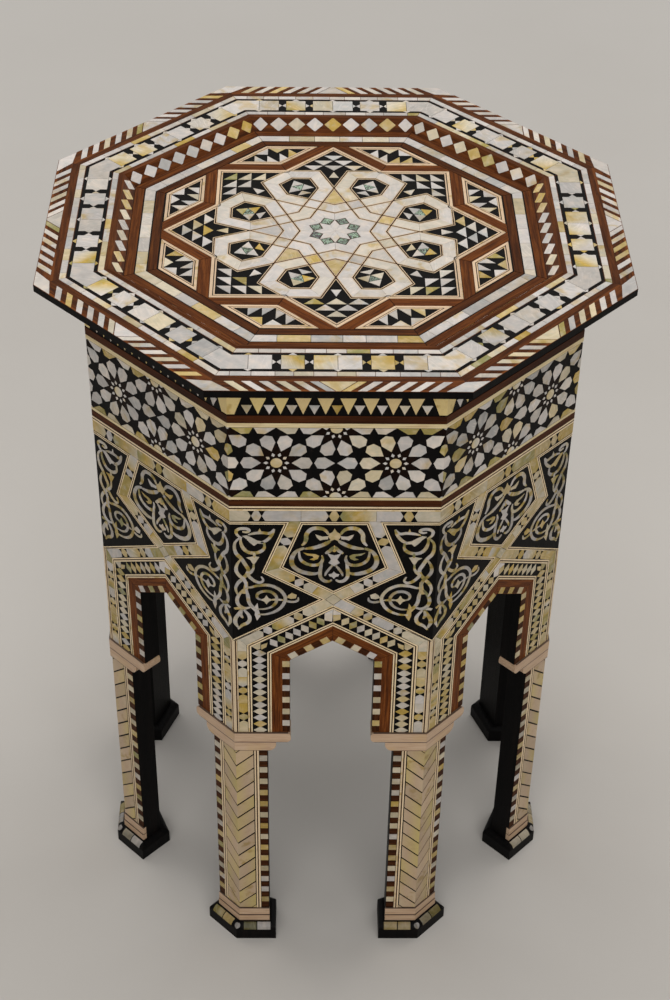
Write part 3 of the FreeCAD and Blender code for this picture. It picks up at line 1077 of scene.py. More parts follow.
# %% [markdown]
# Between the star's points lie eight panels, framed in bone and filled with triangles. The grid of
# the triangles runs along the star's edges, so a piece is given in squares of that grid, and what
# sticks out of the frame is trimmed.

# %% Notch panels
RING, PANEL_R, PANEL_STAR, SQUARE, RUN = 117.5, 116.6, STAR + 8.4, 8.7, 37.0
corner_u, inner_u = PANEL_R / math.cos(EIGHTH / 2), PANEL_STAR / math.cos(EIGHTH / 2)
du, dv = -RUN * math.sin(EIGHTH / 2), RUN * math.cos(EIGHTH / 2)
NOTCH_PANEL = [(corner_u, 0), (corner_u + du, dv), (inner_u, 0), (corner_u + du, -dv)]
PANEL_PIECES = [[(0.05, 0), (1, 0), (1, 1)], [(1.05, 0), (2.05, 0), (2.05, 1)],
                [(0.95, 1.2), (2, 1.2), (1.1, 2.15), (0.95, 2.15)]]


def in_panel(p, q, v):
    """A place in a panel's grid: p squares along the star's edge from the inner corner, q outwards."""
    p, q, c, s = p * SQUARE, q * SQUARE, math.cos(EIGHTH / 2), math.sin(EIGHTH / 2)
    return inner_u + 3.8 + s * p + c * q, v * (c * p - s * q)


window = inset(tidy(NOTCH_PANEL), 3.5)
for k, tray in enumerate(field):
    for outer, inner in ((0.0, 2.0), (2.5, 3.4)):
        for strip in border(NOTCH_PANEL, outer, inner):
            tray.cut(on_loop(k, strip), "bone", **FRAME_STRIP)
    for v in (1, -1):
        half = tidy(trim(window, 0, -v, 0))
        for shape in PANEL_PIECES:
            piece = within(tidy([in_panel(p, q, v) for p, q in shape]), half)
            tray.cut(on_loop(k, piece), "pearl", odd=0.22, joint=0.1)
print("with the panels:", count(field))

# %% [markdown]
# Round the star run straps of red wood, and round the whole field a dark ring, a ring of pearl and a
# red strip at the foot of the wall. One strap is drawn for half an eighth and mirrored. The grain of
# a piece follows its longest edge, so it turns with the straps without any further work.

# %% Rings and straps
veneer = Inlay("field_veneer", top_bed(FIELD_Z), 9, proud=0.2, slot="rosewood")
RED_RINGS, PEARL_RING = ((138.9, 132.1, 0.0), (123.9, RING, -0.45)), (131.6, 124.3, 18.0)
STRAP = [on_axis(0, NOTCH, 0), (POINT, 0), (RING, 0), (RING, PANEL_STAR * math.sqrt(2) - RING),
         on_axis(0, inner_u, 0)]
for k, tray in enumerate(field):
    for outer, inner, shade in RED_RINGS:
        veneer.cut(spin(bar(-WHOLE_SIDE, WHOLE_SIDE, outer, inner), k), "red", shade=shade)
    row(tray, k + 2, *PEARL_RING, odd=0.12, joint=0.1)
    for v in (1, -1):
        veneer.cut(spin([(x, v * y) for x, y in STRAP], k), "red", shade=0.45 * veneer.chance.random())
veneer.glue()
for tray in field:
    tray.glue()
print("field:", count(field))

# %% [markdown]
# ## Under the rim
# Below the overhang runs a band of hanging triangles: large ones of yellow bone and small white ones
# between them. The upper part lies in the shade of the rim, with a plain pearl row. Pieces at the
# ends of a side are mitred, so that they meet the next side's pieces at the corner.

# %% The hanging triangles
def boxed(s0, z0, s1, z1):
    return [(s0, z0), (s1, z0), (s1, z1), (s0, z1)]


frieze = [Inlay(f"frieze_inlay_{k + 1}", side_bed(k), 80 + k, edge=HALF) for k in range(8)]
HANG, HANG_TOP = STRIP_TOP + 0.7, STRIP_TOP + 17.7
HANG_HALF, WHITE_HALF, WHITE_HIGH = 7, 3.7, 7.6
HANG_CORNER = [(63.5, HANG), (HALF, HANG), (HALF, HANG_TOP), (57.5, HANG_TOP)]
for tray in frieze:
    for i in range(-4, 4):
        s = 2 * HANG_HALF * i + HANG_HALF
        tray.cut([(s, HANG), (s + HANG_HALF - 0.05, HANG_TOP), (s - HANG_HALF + 0.05, HANG_TOP)], "bone",
                 tint=0.95 - 0.2 * tray.chance.random(), shade=0.4, joint=0.1)
        for x in ((s - HANG_HALF, s + HANG_HALF) if i == -4 else (s + HANG_HALF,)):
            tray.cut([(x, HANG), (x + WHITE_HALF, HANG + WHITE_HIGH), (x - WHITE_HALF, HANG + WHITE_HIGH)],
                     "pearl", odd=0.05, joint=0.1)
    for turned in BOTH_HANDS:
        tray.cut(turned(HANG_CORNER), "bone", tint=0.85, shade=0.4)
    for z in (HANG_TOP + 1, HANG_TOP + 13):
        tray.cut(boxed(-HALF, z, HALF, z + 1.6), "bone", tint=0.3)
    s = -HALF
    while s < HALF - 1:
        end = min(s + tray.chance.uniform(11, 19), HALF)
        end = HALF if HALF - end < 6 else end
        tray.cut(boxed(s, HANG_TOP + 3.4, end, HANG_TOP + 12.2), "pearl")
        s = end
print("hanging band:", count(frieze))

# %% [markdown]
# ## The frieze
# The frieze is a field of ten-pointed rosettes, cut off by its border. Each rosette is a round pearl
# with ten shields about it, and neighbours share the direction of their shields. A shield
# is drawn once along its axis and turned, and what sticks out of the border is trimmed.
# Round the pearl lies a dark red star. It is lower than the shields that cover its points.

# %% Rosettes
SHIELD = [(9.4, 0), (15.8, 4.75), (20.9, 4.35), (23.1, 0), (20.9, -4.35), (15.8, -4.75)]
BOW = [(0.4, 0), (6.9, 4.75), (11.9, 4.35), (14.0, 0), (11.9, -4.35), (6.9, -4.75)]
CHIP = [(4.9, 0), (6.5, 1.35), (8.5, 0), (6.5, -1.35)]
ROSE_S, ROSE_Z, MID_Z, ROSE_PEARL = 37.8, 27.7, (FRIEZE_TOP + FRIEZE_LOW) / 2, 4.05
WINDOW = boxed(-HALF, FRIEZE_LOW + 0.3, HALF, FRIEZE_TOP - 0.3)
RED_STAR = [(r * math.cos(a * math.pi / 10), r * math.sin(a * math.pi / 10))
            for a, r in enumerate((10.4, 14.4) * 10)]


def turned_to(shape, s, z, degrees):
    c, d = math.cos(math.radians(degrees)), math.sin(math.radians(degrees))
    return [(s + x * c - y * d, z + x * d + y * c) for x, y in shape]


def in_frieze(places):
    return [(s * ROSE_S, MID_Z + z * ROSE_Z) for s, z in places]


roses = in_frieze(((-1, 0), (1, 0), (0, 1), (0, -1), (2, 1), (2, -1), (-2, 1), (-2, -1)))
bows = in_frieze(((0, 0), (-1, -1), (-1, 1), (1, -1), (1, 1), (-2, 0), (2, 0)))
for tray in frieze:
    for s, z in roses:
        tray.slide = (0.0, FRIEZE_LOW - FRIEZE_TOP - 1.0)
        tray.cut(within(turned_to(RED_STAR, s, z, 0), WINDOW), "red", shade=-1.35, joint=0.02, lift=SUNK)
        tray.slide = (0.0, 0.0)
        for i in range(10):
            piece = within(turned_to(SHIELD, s, z, 36 * i), WINDOW)
            cut_off = len(piece) > 2 and abs(spread(piece)) < 0.9 * abs(spread(SHIELD))
            green = tray.chance.uniform(0.8, 1.0) if cut_off and tray.chance.random() < 0.4 else None
            tray.cut(piece, "pearl", tint=green, odd=0.1 if cut_off else 0.05, joint=0.16)
            chip = within(turned_to(CHIP, s, z, 36 * i), WINDOW)
            tray.cut(chip, "pearl", tint=GREY + 0.1, shade=1.1, joint=0.04)
        angles = [math.radians(18 * i) for i in range(20)]
        ring = [(s + ROSE_PEARL * math.cos(a), z + ROSE_PEARL * math.sin(a)) for a in angles]
        stained = fade(ring[0], ring[10], tray.chance.choice((PINK, CREAM)), GOLD - 0.12)
        tray.cut(within(ring, WINDOW), "pearl", tint=stained, shade=0.8)
    for s, z in bows:
        for way in (0, 180):
            tray.cut(within(turned_to(BOW, s, z, way), WINDOW), "pearl", odd=0.2, joint=0.16)
    tray.glue()
print("frieze:", count(frieze))

# %% [markdown]
# ## Straps over the panel
# Below the waist, straps of pearl between thin lines frame a pentagon and two side fields, cross
# under the pentagon and run down beside the arch. Each black field has a border of bone, red wood
# and bone. The straps are what is left between the borders, and a small accent of a pearl hexagon
# between black hourglasses breaks them up.

# %% Fields and straps
BAR_TOP, BAR_LOW, FIELD_TOP = WAIST_LOW - 3.9, 424.2, 421.3
LINES, PITCH, STRAP_HALF_WIDE = 2.2, 0.634, 3.6
FIELD_TIP, FIELD_ELBOW, FIELD_START = (9.6, 355.4), (47.9, 379.5), (33.0, FIELD_TOP)
PENTAGON = [(20.8, FIELD_TOP), (-20.8, FIELD_TOP), (-33.7, 384.5), (0, 363.2), (33.7, 384.5)]
SIDE_FIELD = [FIELD_TIP, (HALF + 6, FIELD_TIP[1] - PITCH * (HALF - 3.6)), (HALF + 6, FIELD_TOP), FIELD_START,
              FIELD_ELBOW]
SHARES = ("bone", 0.0, 0.37), ("red", 0.37, 0.63), ("bone", 0.63, 1.0)
HOURGLASS, WAIST_CUT = 3.5, 2.1


def line_kind(stuff):
    return {"tint": 0.05, "shade": -0.9 if stuff == "red" else 0.9, **FLUSH}


def triple(tray, line, width, way=1):
    """Bone, red wood and bone, side by side along a line, to its left or right."""
    for stuff, near, far in SHARES:
        for strip in rule(line, way * near * width, way * far * width):
            tray.cut(trim(trim(strip, 1, 0, HALF), -1, 0, HALF), stuff, **line_kind(stuff))


def accents(tray, start, end, half, marks, splits=(), odd=0.08, first=None, last=None, turned=list):
    """A strap from start to end. marks are the middles of the accents and splits plain joints. first and
    last are the corners to the right and left of its way, where its ends are cut askew."""
    long = math.dist(start, end)
    ex, ey = (end[0] - start[0]) / long, (end[1] - start[1]) / long

    def at(d, h):
        return start[0] + ex * d - ey * h, start[1] + ey * d + ex * h

    cuts = [(m + d, WAIST_CUT) for m in marks for d in (-HOURGLASS, HOURGLASS)] + [(d, 0.0) for d in splits]
    cuts = [(0.0, 0.0)] + sorted(cuts) + [(long, 0.0)]
    for i, ((d0, b0), (d1, b1)) in enumerate(zip(cuts, cuts[1:])):
        shape = [at(d0 + b0, -half), at(d1 - b1, -half)] + ([at(d1, 0)] if b1 else [])
        shape += [at(d1 - b1, half), at(d0 + b0, half)] + ([at(d0, 0)] if b0 else [])
        if i == 0 and first:
            shape[0], shape[-1] = first
        if i == len(cuts) - 2 and last:
            shape[1], shape[2] = last
        ends = turned([at(d0, 0), at(d1, 0)])[::tray.chance.choice((1, -1))]
        stained = fade(*ends, tray.chance.choice((PINK, CREAM)), tray.chance.choice((OLIVE, GOLD, GOLD)))
        tray.cut(turned(shape), "pearl", tint=stained if tray.chance.random() < STAINED else None,
                 odd=odd + 0.15 * (b0 > 0 and b1 > 0), joint=0.08, slope=0.06)


print("pentagon area", round(spread(tidy(PENTAGON))), "side field area", round(spread(tidy(SIDE_FIELD))))

# %% [markdown]
# The corners of the straps are where the outer edges of the borders meet, so they are worked out from
# the fields and not typed. A change to a field then moves its straps with it. The right-hand straps
# are cut first and then the same ones in the mirror, each from shells of its own.

# %% Lay the straps
panel = [Inlay(f"panel_inlay_{k + 1}", side_bed(k), 100 + k, usual=SIDE_SHELLS[k], edge=HALF, bright=0.3)
         for k in range(8)]
pentagon_rim, side_rim = inset(tidy(PENTAGON), -LINES), inset(tidy(SIDE_FIELD), -LINES)
pentagon_foot, pentagon_right = min(pentagon_rim, key=lambda p: p[1]), max(pentagon_rim, key=lambda p: p[0])
pentagon_top = max(pentagon_rim, key=lambda p: p[1] + 0.001 * p[0])
side_tip, side_elbow, side_top = min(side_rim, key=lambda p: p[0]), side_rim[4], side_rim[3]
CROSS_LOW = 2 * side_tip[1] - pentagon_foot[1]
field_line = [(HALF, FIELD_TOP), FIELD_START, FIELD_ELBOW, FIELD_TIP,
              (HALF, FIELD_TIP[1] - PITCH * (HALF - FIELD_TIP[0]))]
shift = (side_elbow[0] - side_top[0]) / (side_elbow[1] - side_top[1])
tops = [(p[0] + (BAR_LOW - p[1]) * shift, BAR_LOW) for p in (pentagon_top, side_top)]
bends, crossings = (pentagon_right, side_elbow), (pentagon_foot, side_tip)
mid = (BAR_TOP + BAR_LOW) / 2
BAR_MARKS, BAR_SPLITS = (HALF - 51, HALF - 0.5, HALF + 48), (HALF - 22, HALF + 27)
for tray in panel:
    triple(tray, [(-HALF, WAIST_LOW - 0.3), (HALF, WAIST_LOW - 0.3)], 3.4, -1)
    accents(tray, (-HALF, mid), (HALF, mid), (BAR_TOP - BAR_LOW) / 2, BAR_MARKS, BAR_SPLITS)
    for turned, way in ((list, 1), (mirror, -1)):
        triple(tray, turned(field_line), LINES, -way)
        accents(tray, middle(tops), middle(bends), STRAP_HALF_WIDE, (18.5,),
                first=tops, last=bends, turned=turned)
        accents(tray, middle(bends), middle(crossings), STRAP_HALF_WIDE, (21.0,), (33.5,),
                first=bends, last=crossings, turned=turned)
    for stuff, near, far in SHARES:
        tray.cut_all(border(PENTAGON, -LINES * far, -LINES * near), stuff, **line_kind(stuff))
    tray.cut([pentagon_foot, side_tip, (0, CROSS_LOW), (-side_tip[0], side_tip[1])], "pearl", tint=CREAM)
print("straps:", count(panel), "and a crossing from", round(pentagon_foot[1], 1), "to", round(CROSS_LOW, 1))

# %% [markdown]
# ## Scrolls
# The black fields hold scrolls sawn from pearl: curls, leaves and stems, the same on both sides of
# each axis. A scroll is a ribbon along a smooth line through a few points, wide in its
# middle and thin at its ends. A curve with a round bevel would give wires, and these are flat.

# %% A smooth line and its width
def smooth(points, steps=6):
    """A smooth line through points, each stretch in a few steps."""
    line, ends = [], [points[0], *points, points[-1]]
    for around in zip(ends, ends[1:], ends[2:], ends[3:]):
        for j in range(steps):
            t = j / steps
            line.append(tuple(0.5 * (2 * b + (c - a) * t + (2 * a - 5 * b + 4 * c - d) * t * t
                                     + (3 * b - a - 3 * c + d) * t ** 3) for a, b, c, d in zip(*around)))
    return line + [points[-1]]


def swelling(n, width, first=0.55, last=0.45):
    """Widths along a scroll of n points, thin at the ends."""
    return [width * (first + (1 - first) * min(1, 4 * i / n) if 2 * i < n
                     else last + (1 - last) * min(1, 4 * (n - 1 - i) / n)) for i in range(n)]


print("a line through 3 points has", len(smooth([(0, 0), (1, 1), (2, 0)])), "points")

# %% [markdown]
# In the mesh, a scroll is a chain of rings with four corners: two are let into the panel and two are
# on the face. A long scroll is pieced together from several shells, so its tint changes on the way.
# A curve with a flat profile could be swept instead, but here each point gets its tint as it is made.

# %% A sawn ribbon
SCROLL_SHELLS = PINK, PINK, PINK, CREAM, CREAM, GREY + 0.1, GOLD - 0.14, OLIVE - 0.06, OLIVE
SCROLL_STEP, SCROLL_LEVELS, SCROLL_GRAIN = 0.004, 12, 2.2


def ribbon(tray, line, widths):
    """A sawn scroll of pearl that follows a smooth line, of changing width and tint."""
    n, rings, faces = len(line), [], []
    shells = [tray.chance.choice(SCROLL_SHELLS) for _ in range(2 + n // 5)]
    tints = [shells[i * len(shells) // n] for i in range(n) for _ in range(4)]
    for i in range(4, 4 * n):
        tints[i] = 0.6 * tints[i - 4] + 0.4 * tints[i]
    lift = tray.proud + SCROLL_STEP * (tray.count % SCROLL_LEVELS)
    for i, (a, b) in enumerate(line):
        p, q = line[max(i - 1, 0)], line[min(i + 1, n - 1)]
        long, half = math.dist(p, q), widths[i] / 2
        tx, ty = (q[0] - p[0]) / long, (q[1] - p[1]) / long
        pull = SLOPE * ((i == 0) - (i == n - 1))
        for side, edge, z in ((1, 0.0, -LET_IN), (-1, 0.0, -LET_IN), (-1, SLOPE, lift), (1, SLOPE, lift)):
            w = side * max(half - edge, 0.3 * half)
            move = pull if z > 0 else 0.0
            rings.append((a - ty * w + tx * move, b + tx * w + ty * move, z))
    for i in range(0, 4 * (n - 1), 4):
        faces += [([i + 3, i + 2, i + 6, i + 7], False), ([i + 0, i + 3, i + 7, i + 4], False),
                  ([i + 2, i + 1, i + 5, i + 6], False), ([i + 1, i + 0, i + 4, i + 5], True)]
    last = 4 * (n - 1)
    faces += [([0, 1, 2, 3], False), ([last + 3, last + 2, last + 1, last], False)]
    shade, way = tray.chance.uniform(-0.7, 0.2), tray.chance.uniform(0, 3)
    tray.mesh_piece(rings, faces, "pearl", tints, shade, way, SCROLL_GRAIN)


print("scrolls differ in height by up to", SCROLL_STEP * (SCROLL_LEVELS - 1), "mm")

# %% [markdown]
# The scrolls are traced, one line for each curl, as a width and the points it goes through.
# Leaves are outlines. The medallion in the pentagon needs only its right half: curls and leaves
# beside the axis are mirrored, and a leaf on the axis is closed by its own mirror image.

# %% The medallion
MEDALLION = [
    (2.5, [(3.8, 412.8), (6.5, 416.8), (11.0, 418.4), (15.5, 417.2), (18.4, 413.0), (18.6, 409.0),
           (19.5, 405.8), (21.6, 403.2)]),
    (2.5, [(2.6, 407.6), (5.0, 405.6), (9.0, 403.2), (13.5, 401.5), (19.5, 400.6)]),
    (2.7, [(19.6, 401.2), (25.0, 398.2), (28.0, 392.0), (27.4, 386.0), (23.6, 381.6), (18.2, 379.2),
           (13.0, 378.6), (9.6, 379.8)]),
    (2.1, [(23.3, 398.4), (22.5, 392.0), (19.5, 388.2), (14.5, 386.2), (9.8, 387.2), (7.6, 391.0),
           (8.2, 395.0)]),
    (2.2, [(0.5, 402.4), (2.8, 399.0), (6.0, 396.4)]),
    (1.6, [(0.8, 386.6), (3.0, 383.2), (5.0, 379.8), (6.0, 376.6)]),
    (2.2, [(7.9, 392.0), (8.6, 386.0), (9.2, 380.6), (9.0, 376.0), (6.8, 372.6), (3.6, 371.8), (1.2, 373.4)]),
]
AXIS_LEAVES = [
    (GOLD - 0.12, [(0, 418.4), (1.5, 415.2), (3.8, 413.4), (4.4, 411.0), (2.8, 408.6), (4.4, 406.2),
                   (0, 408.6)]),
    (GOLD - 0.05, [(0, 404.0), (1.6, 401.2), (1.2, 398.2), (0, 397.6)]),
    (PINK, [(0, 395.0), (4.9, 396.6), (3.0, 393.0), (2.2, 391.2), (3.9, 388.2), (2.2, 387.0), (0, 385.2)]),
    (PINK, [(0, 380.8), (1.5, 378.8), (3.8, 378.2), (3.0, 376.2), (1.3, 375.8), (0, 373.8)]),
]
HOOK_LEAF = [(4.0, 411.6), (8.0, 411.2), (12.9, 413.2), (11.6, 410.0), (9.6, 407.6), (7.5, 408.4),
             (4.2, 408.8)]
LOBE_LEAF = [(21.0, 397.4), (16.8, 396.4), (12.4, 396.0), (9.8, 394.4), (10.6, 391.8), (13.4, 390.3),
             (16.6, 391.2), (13.8, 392.7), (14.4, 394.1), (17.8, 394.7)]
print("medallion:", len(MEDALLION), "curls on each side and", len(AXIS_LEAVES), "leaves on the axis")

# %% [markdown]
# Each side field holds half of a tall plant, whose other half stands on the next side of the table.
# Its stem winds along the corner from a knot at the top to a bud at the foot, and a large spiral
# with a star-shaped leaf unrolls from it. Stretches that cross each other differ in height by a
# few thousandths of a millimetre, so that they don't flicker where they overlap.

# %% The side fields
SIDE_SCROLLS = [
    (1.9, [(39.4, 417.4), (42.5, 413.8), (47.0, 414.2), (52.0, 413.8), (56.6, 412.4)]),
    (2.0, [(39.4, 417.4), (41.3, 412.0), (44.5, 407.7), (48.6, 405.4)]),
    (2.2, [(46.2, 406.0), (46.0, 401.2), (48.5, 398.0), (52.7, 396.6), (57.0, 397.5), (60.0, 401.0),
           (61.5, 406.0), (61.2, 410.4)]),
    (2.0, [(60.6, 409.4), (63.5, 412.0), (64.3, 415.4), (62.0, 417.5), (57.5, 417.5), (55.9, 416.0),
           (57.5, 414.6), (60.4, 415.0)]),
    (2.3, [(61.5, 410.4), (65.0, 406.0), (65.7, 401.0), (64.5, 396.0), (61.5, 392.0), (59.0, 387.0),
           (56.8, 382.0), (57.5, 378.5), (59.5, 375.5), (61.4, 373.0), (63.8, 370.2), (65.4, 366.0),
           (65.0, 362.0), (63.4, 358.4)]),
    (1.6, [(52.7, 397.2), (52.7, 392.6)]),
    (2.0, [(53.2, 387.4), (53.5, 383.0), (55.0, 380.0), (57.0, 377.6), (55.5, 374.8), (52.5, 371.8),
           (49.2, 370.6), (47.0, 372.6), (48.4, 376.0)]),
    (2.1, [(61.4, 391.4), (64.2, 386.5), (64.9, 381.0), (62.7, 376.5), (60.0, 373.6), (58.6, 369.0),
           (58.4, 364.0)]),
    (2.1, [(58.4, 366.4), (55.5, 366.2), (50.5, 367.8), (43.5, 368.2), (37.0, 365.0), (33.0, 359.5),
           (32.5, 354.5), (35.0, 348.5), (39.5, 344.2), (45.5, 341.8), (51.0, 341.6)]),
    (1.9, [(48.2, 355.0), (50.6, 356.0), (51.4, 358.6), (49.8, 361.4), (45.5, 362.9), (41.0, 361.5),
           (38.3, 357.5), (38.5, 353.0), (41.0, 349.2), (45.5, 346.8), (51.4, 346.4)]),
    (2.2, [(58.6, 365.0), (57.5, 359.0), (57.0, 354.0), (55.5, 350.0), (52.2, 346.8)]),
    (2.2, [(60.2, 364.4), (63.6, 359.0), (64.8, 354.0), (63.2, 349.4), (59.5, 347.2), (55.0, 348.6)]),
    (2.3, [(60.4, 346.0), (57.2, 341.0), (56.5, 337.0), (58.0, 333.8), (61.5, 331.6), (64.6, 327.8)]),
    (2.5, [(61.6, 346.6), (63.8, 342.0), (66.0, 338.0), (66.3, 334.0), (64.4, 329.4)]),
    (1.8, [(61.6, 345.6), (62.4, 341.4), (61.0, 338.0)]),
    (1.6, [(33.2, 354.6), (30.0, 353.5), (26.5, 353.2), (23.9, 354.6), (23.6, 357.4)]),
    (1.4, [(42.4, 355.0), (38.0, 355.2), (33.4, 354.8)]),
]
SIDE_LEAVES = [
    [(47.6, 414.6), (48.9, 418.4), (50.4, 414.4)],
    [(46.0, 406.6), (50.5, 407.5), (54.0, 410.0), (57.4, 412.0), (60.8, 411.4), (57.8, 408.6), (55.6, 405.5),
     (52.7, 402.6), (50.5, 404.8), (46.5, 404.5)],
    [(49.2, 393.2), (52.7, 393.9), (58.4, 392.6), (55.6, 390.6), (54.4, 388.0), (53.2, 385.8), (51.4, 389.0)],
    [(57.2, 371.2), (59.4, 372.0), (60.6, 364.8), (61.8, 360.6), (58.4, 360.2), (57.0, 365.0)],
    [(45.0, 359.4), (46.6, 356.4), (49.6, 355.0), (46.8, 353.4), (45.0, 350.6), (43.2, 353.4), (40.6, 355.0),
     (43.4, 356.4)],
    [(51.0, 352.4), (53.2, 348.4), (56.0, 348.0), (53.0, 344.0), (53.2, 341.0), (51.6, 335.6), (49.0, 340.0),
     (49.8, 344.0), (50.6, 349.0)],
    [(60.2, 346.2), (63.5, 348.7), (67.4, 347.7), (66.4, 345.8)],
    [(24.4, 359.6), (28.0, 361.4), (30.6, 359.2), (31.4, 357.0), (28.5, 355.8), (25.2, 356.4)],
    HOOK_LEAF,
    LOBE_LEAF,
]
print("side field:", len(SIDE_SCROLLS), "curls and", len(SIDE_LEAVES), "leaves, with two of the medallion")

# %% [markdown]
# Every panel gets the same scrolls, but sawn from its own shells, so no two sides are alike. A mirror
# modifier would copy the shells too, and that shows at once beside the axis. So the second half is
# cut from mirrored points, and each of its pieces takes a new shell from the heap.

# %% Lay the scrolls
SCROLL_WIDTH = 1.25
for tray in panel:
    for turned in BOTH_HANDS:
        for width, points in MEDALLION + SIDE_SCROLLS:
            line = smooth(turned(points))
            ribbon(tray, line, swelling(len(line), SCROLL_WIDTH * width))
        tray.cut_all([turned(leaf) for leaf in SIDE_LEAVES], "pearl", odd=0.3, joint=0.05)
    for tint, leaf in AXIS_LEAVES:
        tray.cut(leaf + mirror(leaf[-2:0:-1]), "pearl", tint=tint, joint=0.05)
    tray.glue()
print("panels:", count(panel))

# %% [markdown]
# ## Round the arch
# The straps run on down the jambs as a pearl column with accents. Inside it stand a column of pearl
# rhombs on black, a line, and a red border with pearl squares along the opening. All these lines
# have to follow the opening, so its corners are read from the solid of the front panel.

# %% Lines of the arch
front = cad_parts["side_panel_1"]
corners = [front.matrix_world @ v.co * 1000 for v in front.data.vertices]
OPENING = min(abs(p.x) for p in corners if abs(p.x) > 1)
ARCH_SIDE = max(p.z for p in corners if 1 < abs(p.x) < OPENING + 0.1)
ARCH_TOP = max(p.z for p in corners if abs(p.x) < 0.1)
BASE, HEAD = CORBEL_TOP + 0.1, math.hypot(1, PITCH)
COLUMN_OUT, COLUMN_IN, OUT_LINES, IN_LINES = 65.3, 59.0, 3.0, 2.8
DIAMOND_OUT, DIAMOND_IN, BAND = COLUMN_IN - OUT_LINES - 0.2, 44.9, 12.2
DIAMOND_TOP = CROSS_LOW - OUT_LINES * HEAD
DIAMOND_LOW = DIAMOND_TOP - BAND
RED_TOP, RED_OUT = DIAMOND_LOW - IN_LINES * HEAD, DIAMOND_IN - IN_LINES


def over(apex, s):
    """A point on a line that falls from an apex over the arch."""
    return s, apex - PITCH * s


def arch_line(apex, s):
    """A line from an apex over the arch to the jamb, and down it."""
    return [over(apex, 0), over(apex, s), (s, BASE)]


shoulders = over(CROSS_LOW, COLUMN_IN), over(pentagon_foot[1], COLUMN_OUT)
band_out, band_in = arch_line(DIAMOND_TOP, DIAMOND_OUT), arch_line(DIAMOND_LOW, DIAMOND_IN)
red_out = arch_line(RED_TOP, RED_OUT)
print("opening", round(2 * OPENING, 1), "mm wide, shoulder", round(ARCH_SIDE, 1), "apex", round(ARCH_TOP, 1))

# %% [markdown]
# The column and its thin lines are cut for one jamb and mirrored. The red border is one sheet under the
# squares, so it goes into an object of its own, a little lower than the other pieces. A red stripe
# painted on the panel would be simpler, but it would have no edge towards the opening.

# %% Lay the arch
arch = [Inlay(f"arch_inlay_{k + 1}", side_bed(k), 120 + k, usual=SIDE_SHELLS[k], edge=HALF, bright=0.4)
        for k in range(8)]
sheets = [Inlay(f"arch_veneer_{k + 1}", side_bed(k), 140 + k, proud=0.1, slot="rosewood") for k in range(8)]
EDGE_LINES = ("bone", HALF - 1.3, HALF), ("red", HALF - 2.1, HALF - 1.3), ("bone", COLUMN_OUT, HALF - 2.1)
HEAD_MARKS, HEAD_SPLITS = (24.5, 49.0), (12.5,)
JAMB_MARKS, JAMB_SPLITS = (21.0, 47.2, 73.6), (9, 34, 60)
crossing = (0, CROSS_LOW), side_tip
column_top = (COLUMN_OUT + COLUMN_IN) / 2, (shoulders[1][1] + shoulders[0][1]) / 2
HEAD_SHEET = [red_out[0], red_out[1], (OPENING, ARCH_SIDE), (0, ARCH_TOP)]
JAMB_SHEET = [red_out[1], red_out[2], (OPENING, BASE), (OPENING, ARCH_SIDE)]


def fine_kind(stuff):
    return {"tint": 0.2, "shade": -0.8 if stuff == "red" else None, **FLUSH}


for tray, sheet in zip(arch, sheets):
    for turned in BOTH_HANDS:
        accents(tray, middle(crossing[::-1]), middle(shoulders), STRAP_HALF_WIDE, HEAD_MARKS, HEAD_SPLITS,
                first=crossing, last=shoulders, turned=turned)
        accents(tray, column_top, (column_top[0], BASE), (COLUMN_OUT - COLUMN_IN) / 2, JAMB_MARKS,
                JAMB_SPLITS, odd=0.25, first=shoulders, turned=turned)
        for stuff, s0, s1 in EDGE_LINES:
            line = [(s0, BASE), (s1, BASE), over(pentagon_foot[1], s1), over(pentagon_foot[1], s0)]
            tray.cut(turned(line), stuff, **fine_kind(stuff))
        sheet.cut(turned(HEAD_SHEET), "red", shade=0.35, joint=0.02)
        sheet.cut(turned(JAMB_SHEET), "red", shade=0.4, way=math.pi / 2, joint=0.02)
    triple(tray, mirror(band_out[:0:-1]) + band_out, OUT_LINES)
    triple(tray, mirror(band_in[:0:-1]) + band_in, IN_LINES, -1)
    sheet.glue()
print("arch lines:", count(arch))

# %% [markdown]
# Between the lines, slanted rhombs climb to the apex and lozenges stand in the column of each jamb.
# They touch only at their tips, so the black panel shows between them. Where the two rows meet, two
# larger pieces fill the shoulder. Squares of pearl and red alternate along the opening.

# %% Rhombs and squares
RHOMB = [(-2.7, -4.1), (2.7, -1.6), (2.7, 4.1), (-2.7, 1.6)]
BRICK = [(-5.1, 0), (-0.7, -3.15), (0.7, -3.15), (5.1, 0), (0.7, 3.15), (-0.7, 3.15)]
RHOMBS, FIRST_RHOMB, RHOMB_PITCH, BRICK_PITCH = 7, 8.4, 5.33, 6.33
CHECKS, CHECK_PITCH, HEAD_CHECKS, HEAD_PITCH = 6, 11.7, 5, 6.5
DARK = {"stuff": "red", "shade": -0.85, "joint": 0.08}
lean = -math.degrees(math.atan2(ARCH_TOP - ARCH_SIDE, OPENING))
column = (DIAMOND_OUT + DIAMOND_IN) / 2
top, foot = DIAMOND_TOP - 0.1, DIAMOND_LOW + 0.6
APEX = [
    ([(0, top), (-0.2, top - 5.4), (-0.4, foot), (-5.9, foot + 1.2), (-5.9, top - 4.0)], PINK, 0.9),
    ([(0, top), (5.4, top - 3.7), (5.4, top - 4.9), (-0.2, top - 5.4)], PINK, 0.8),
    ([(-0.2, top - 5.4), (5.2, top - 4.9), (5.2, foot + 2.0), (0, foot)], GOLD - 0.1, None),
]
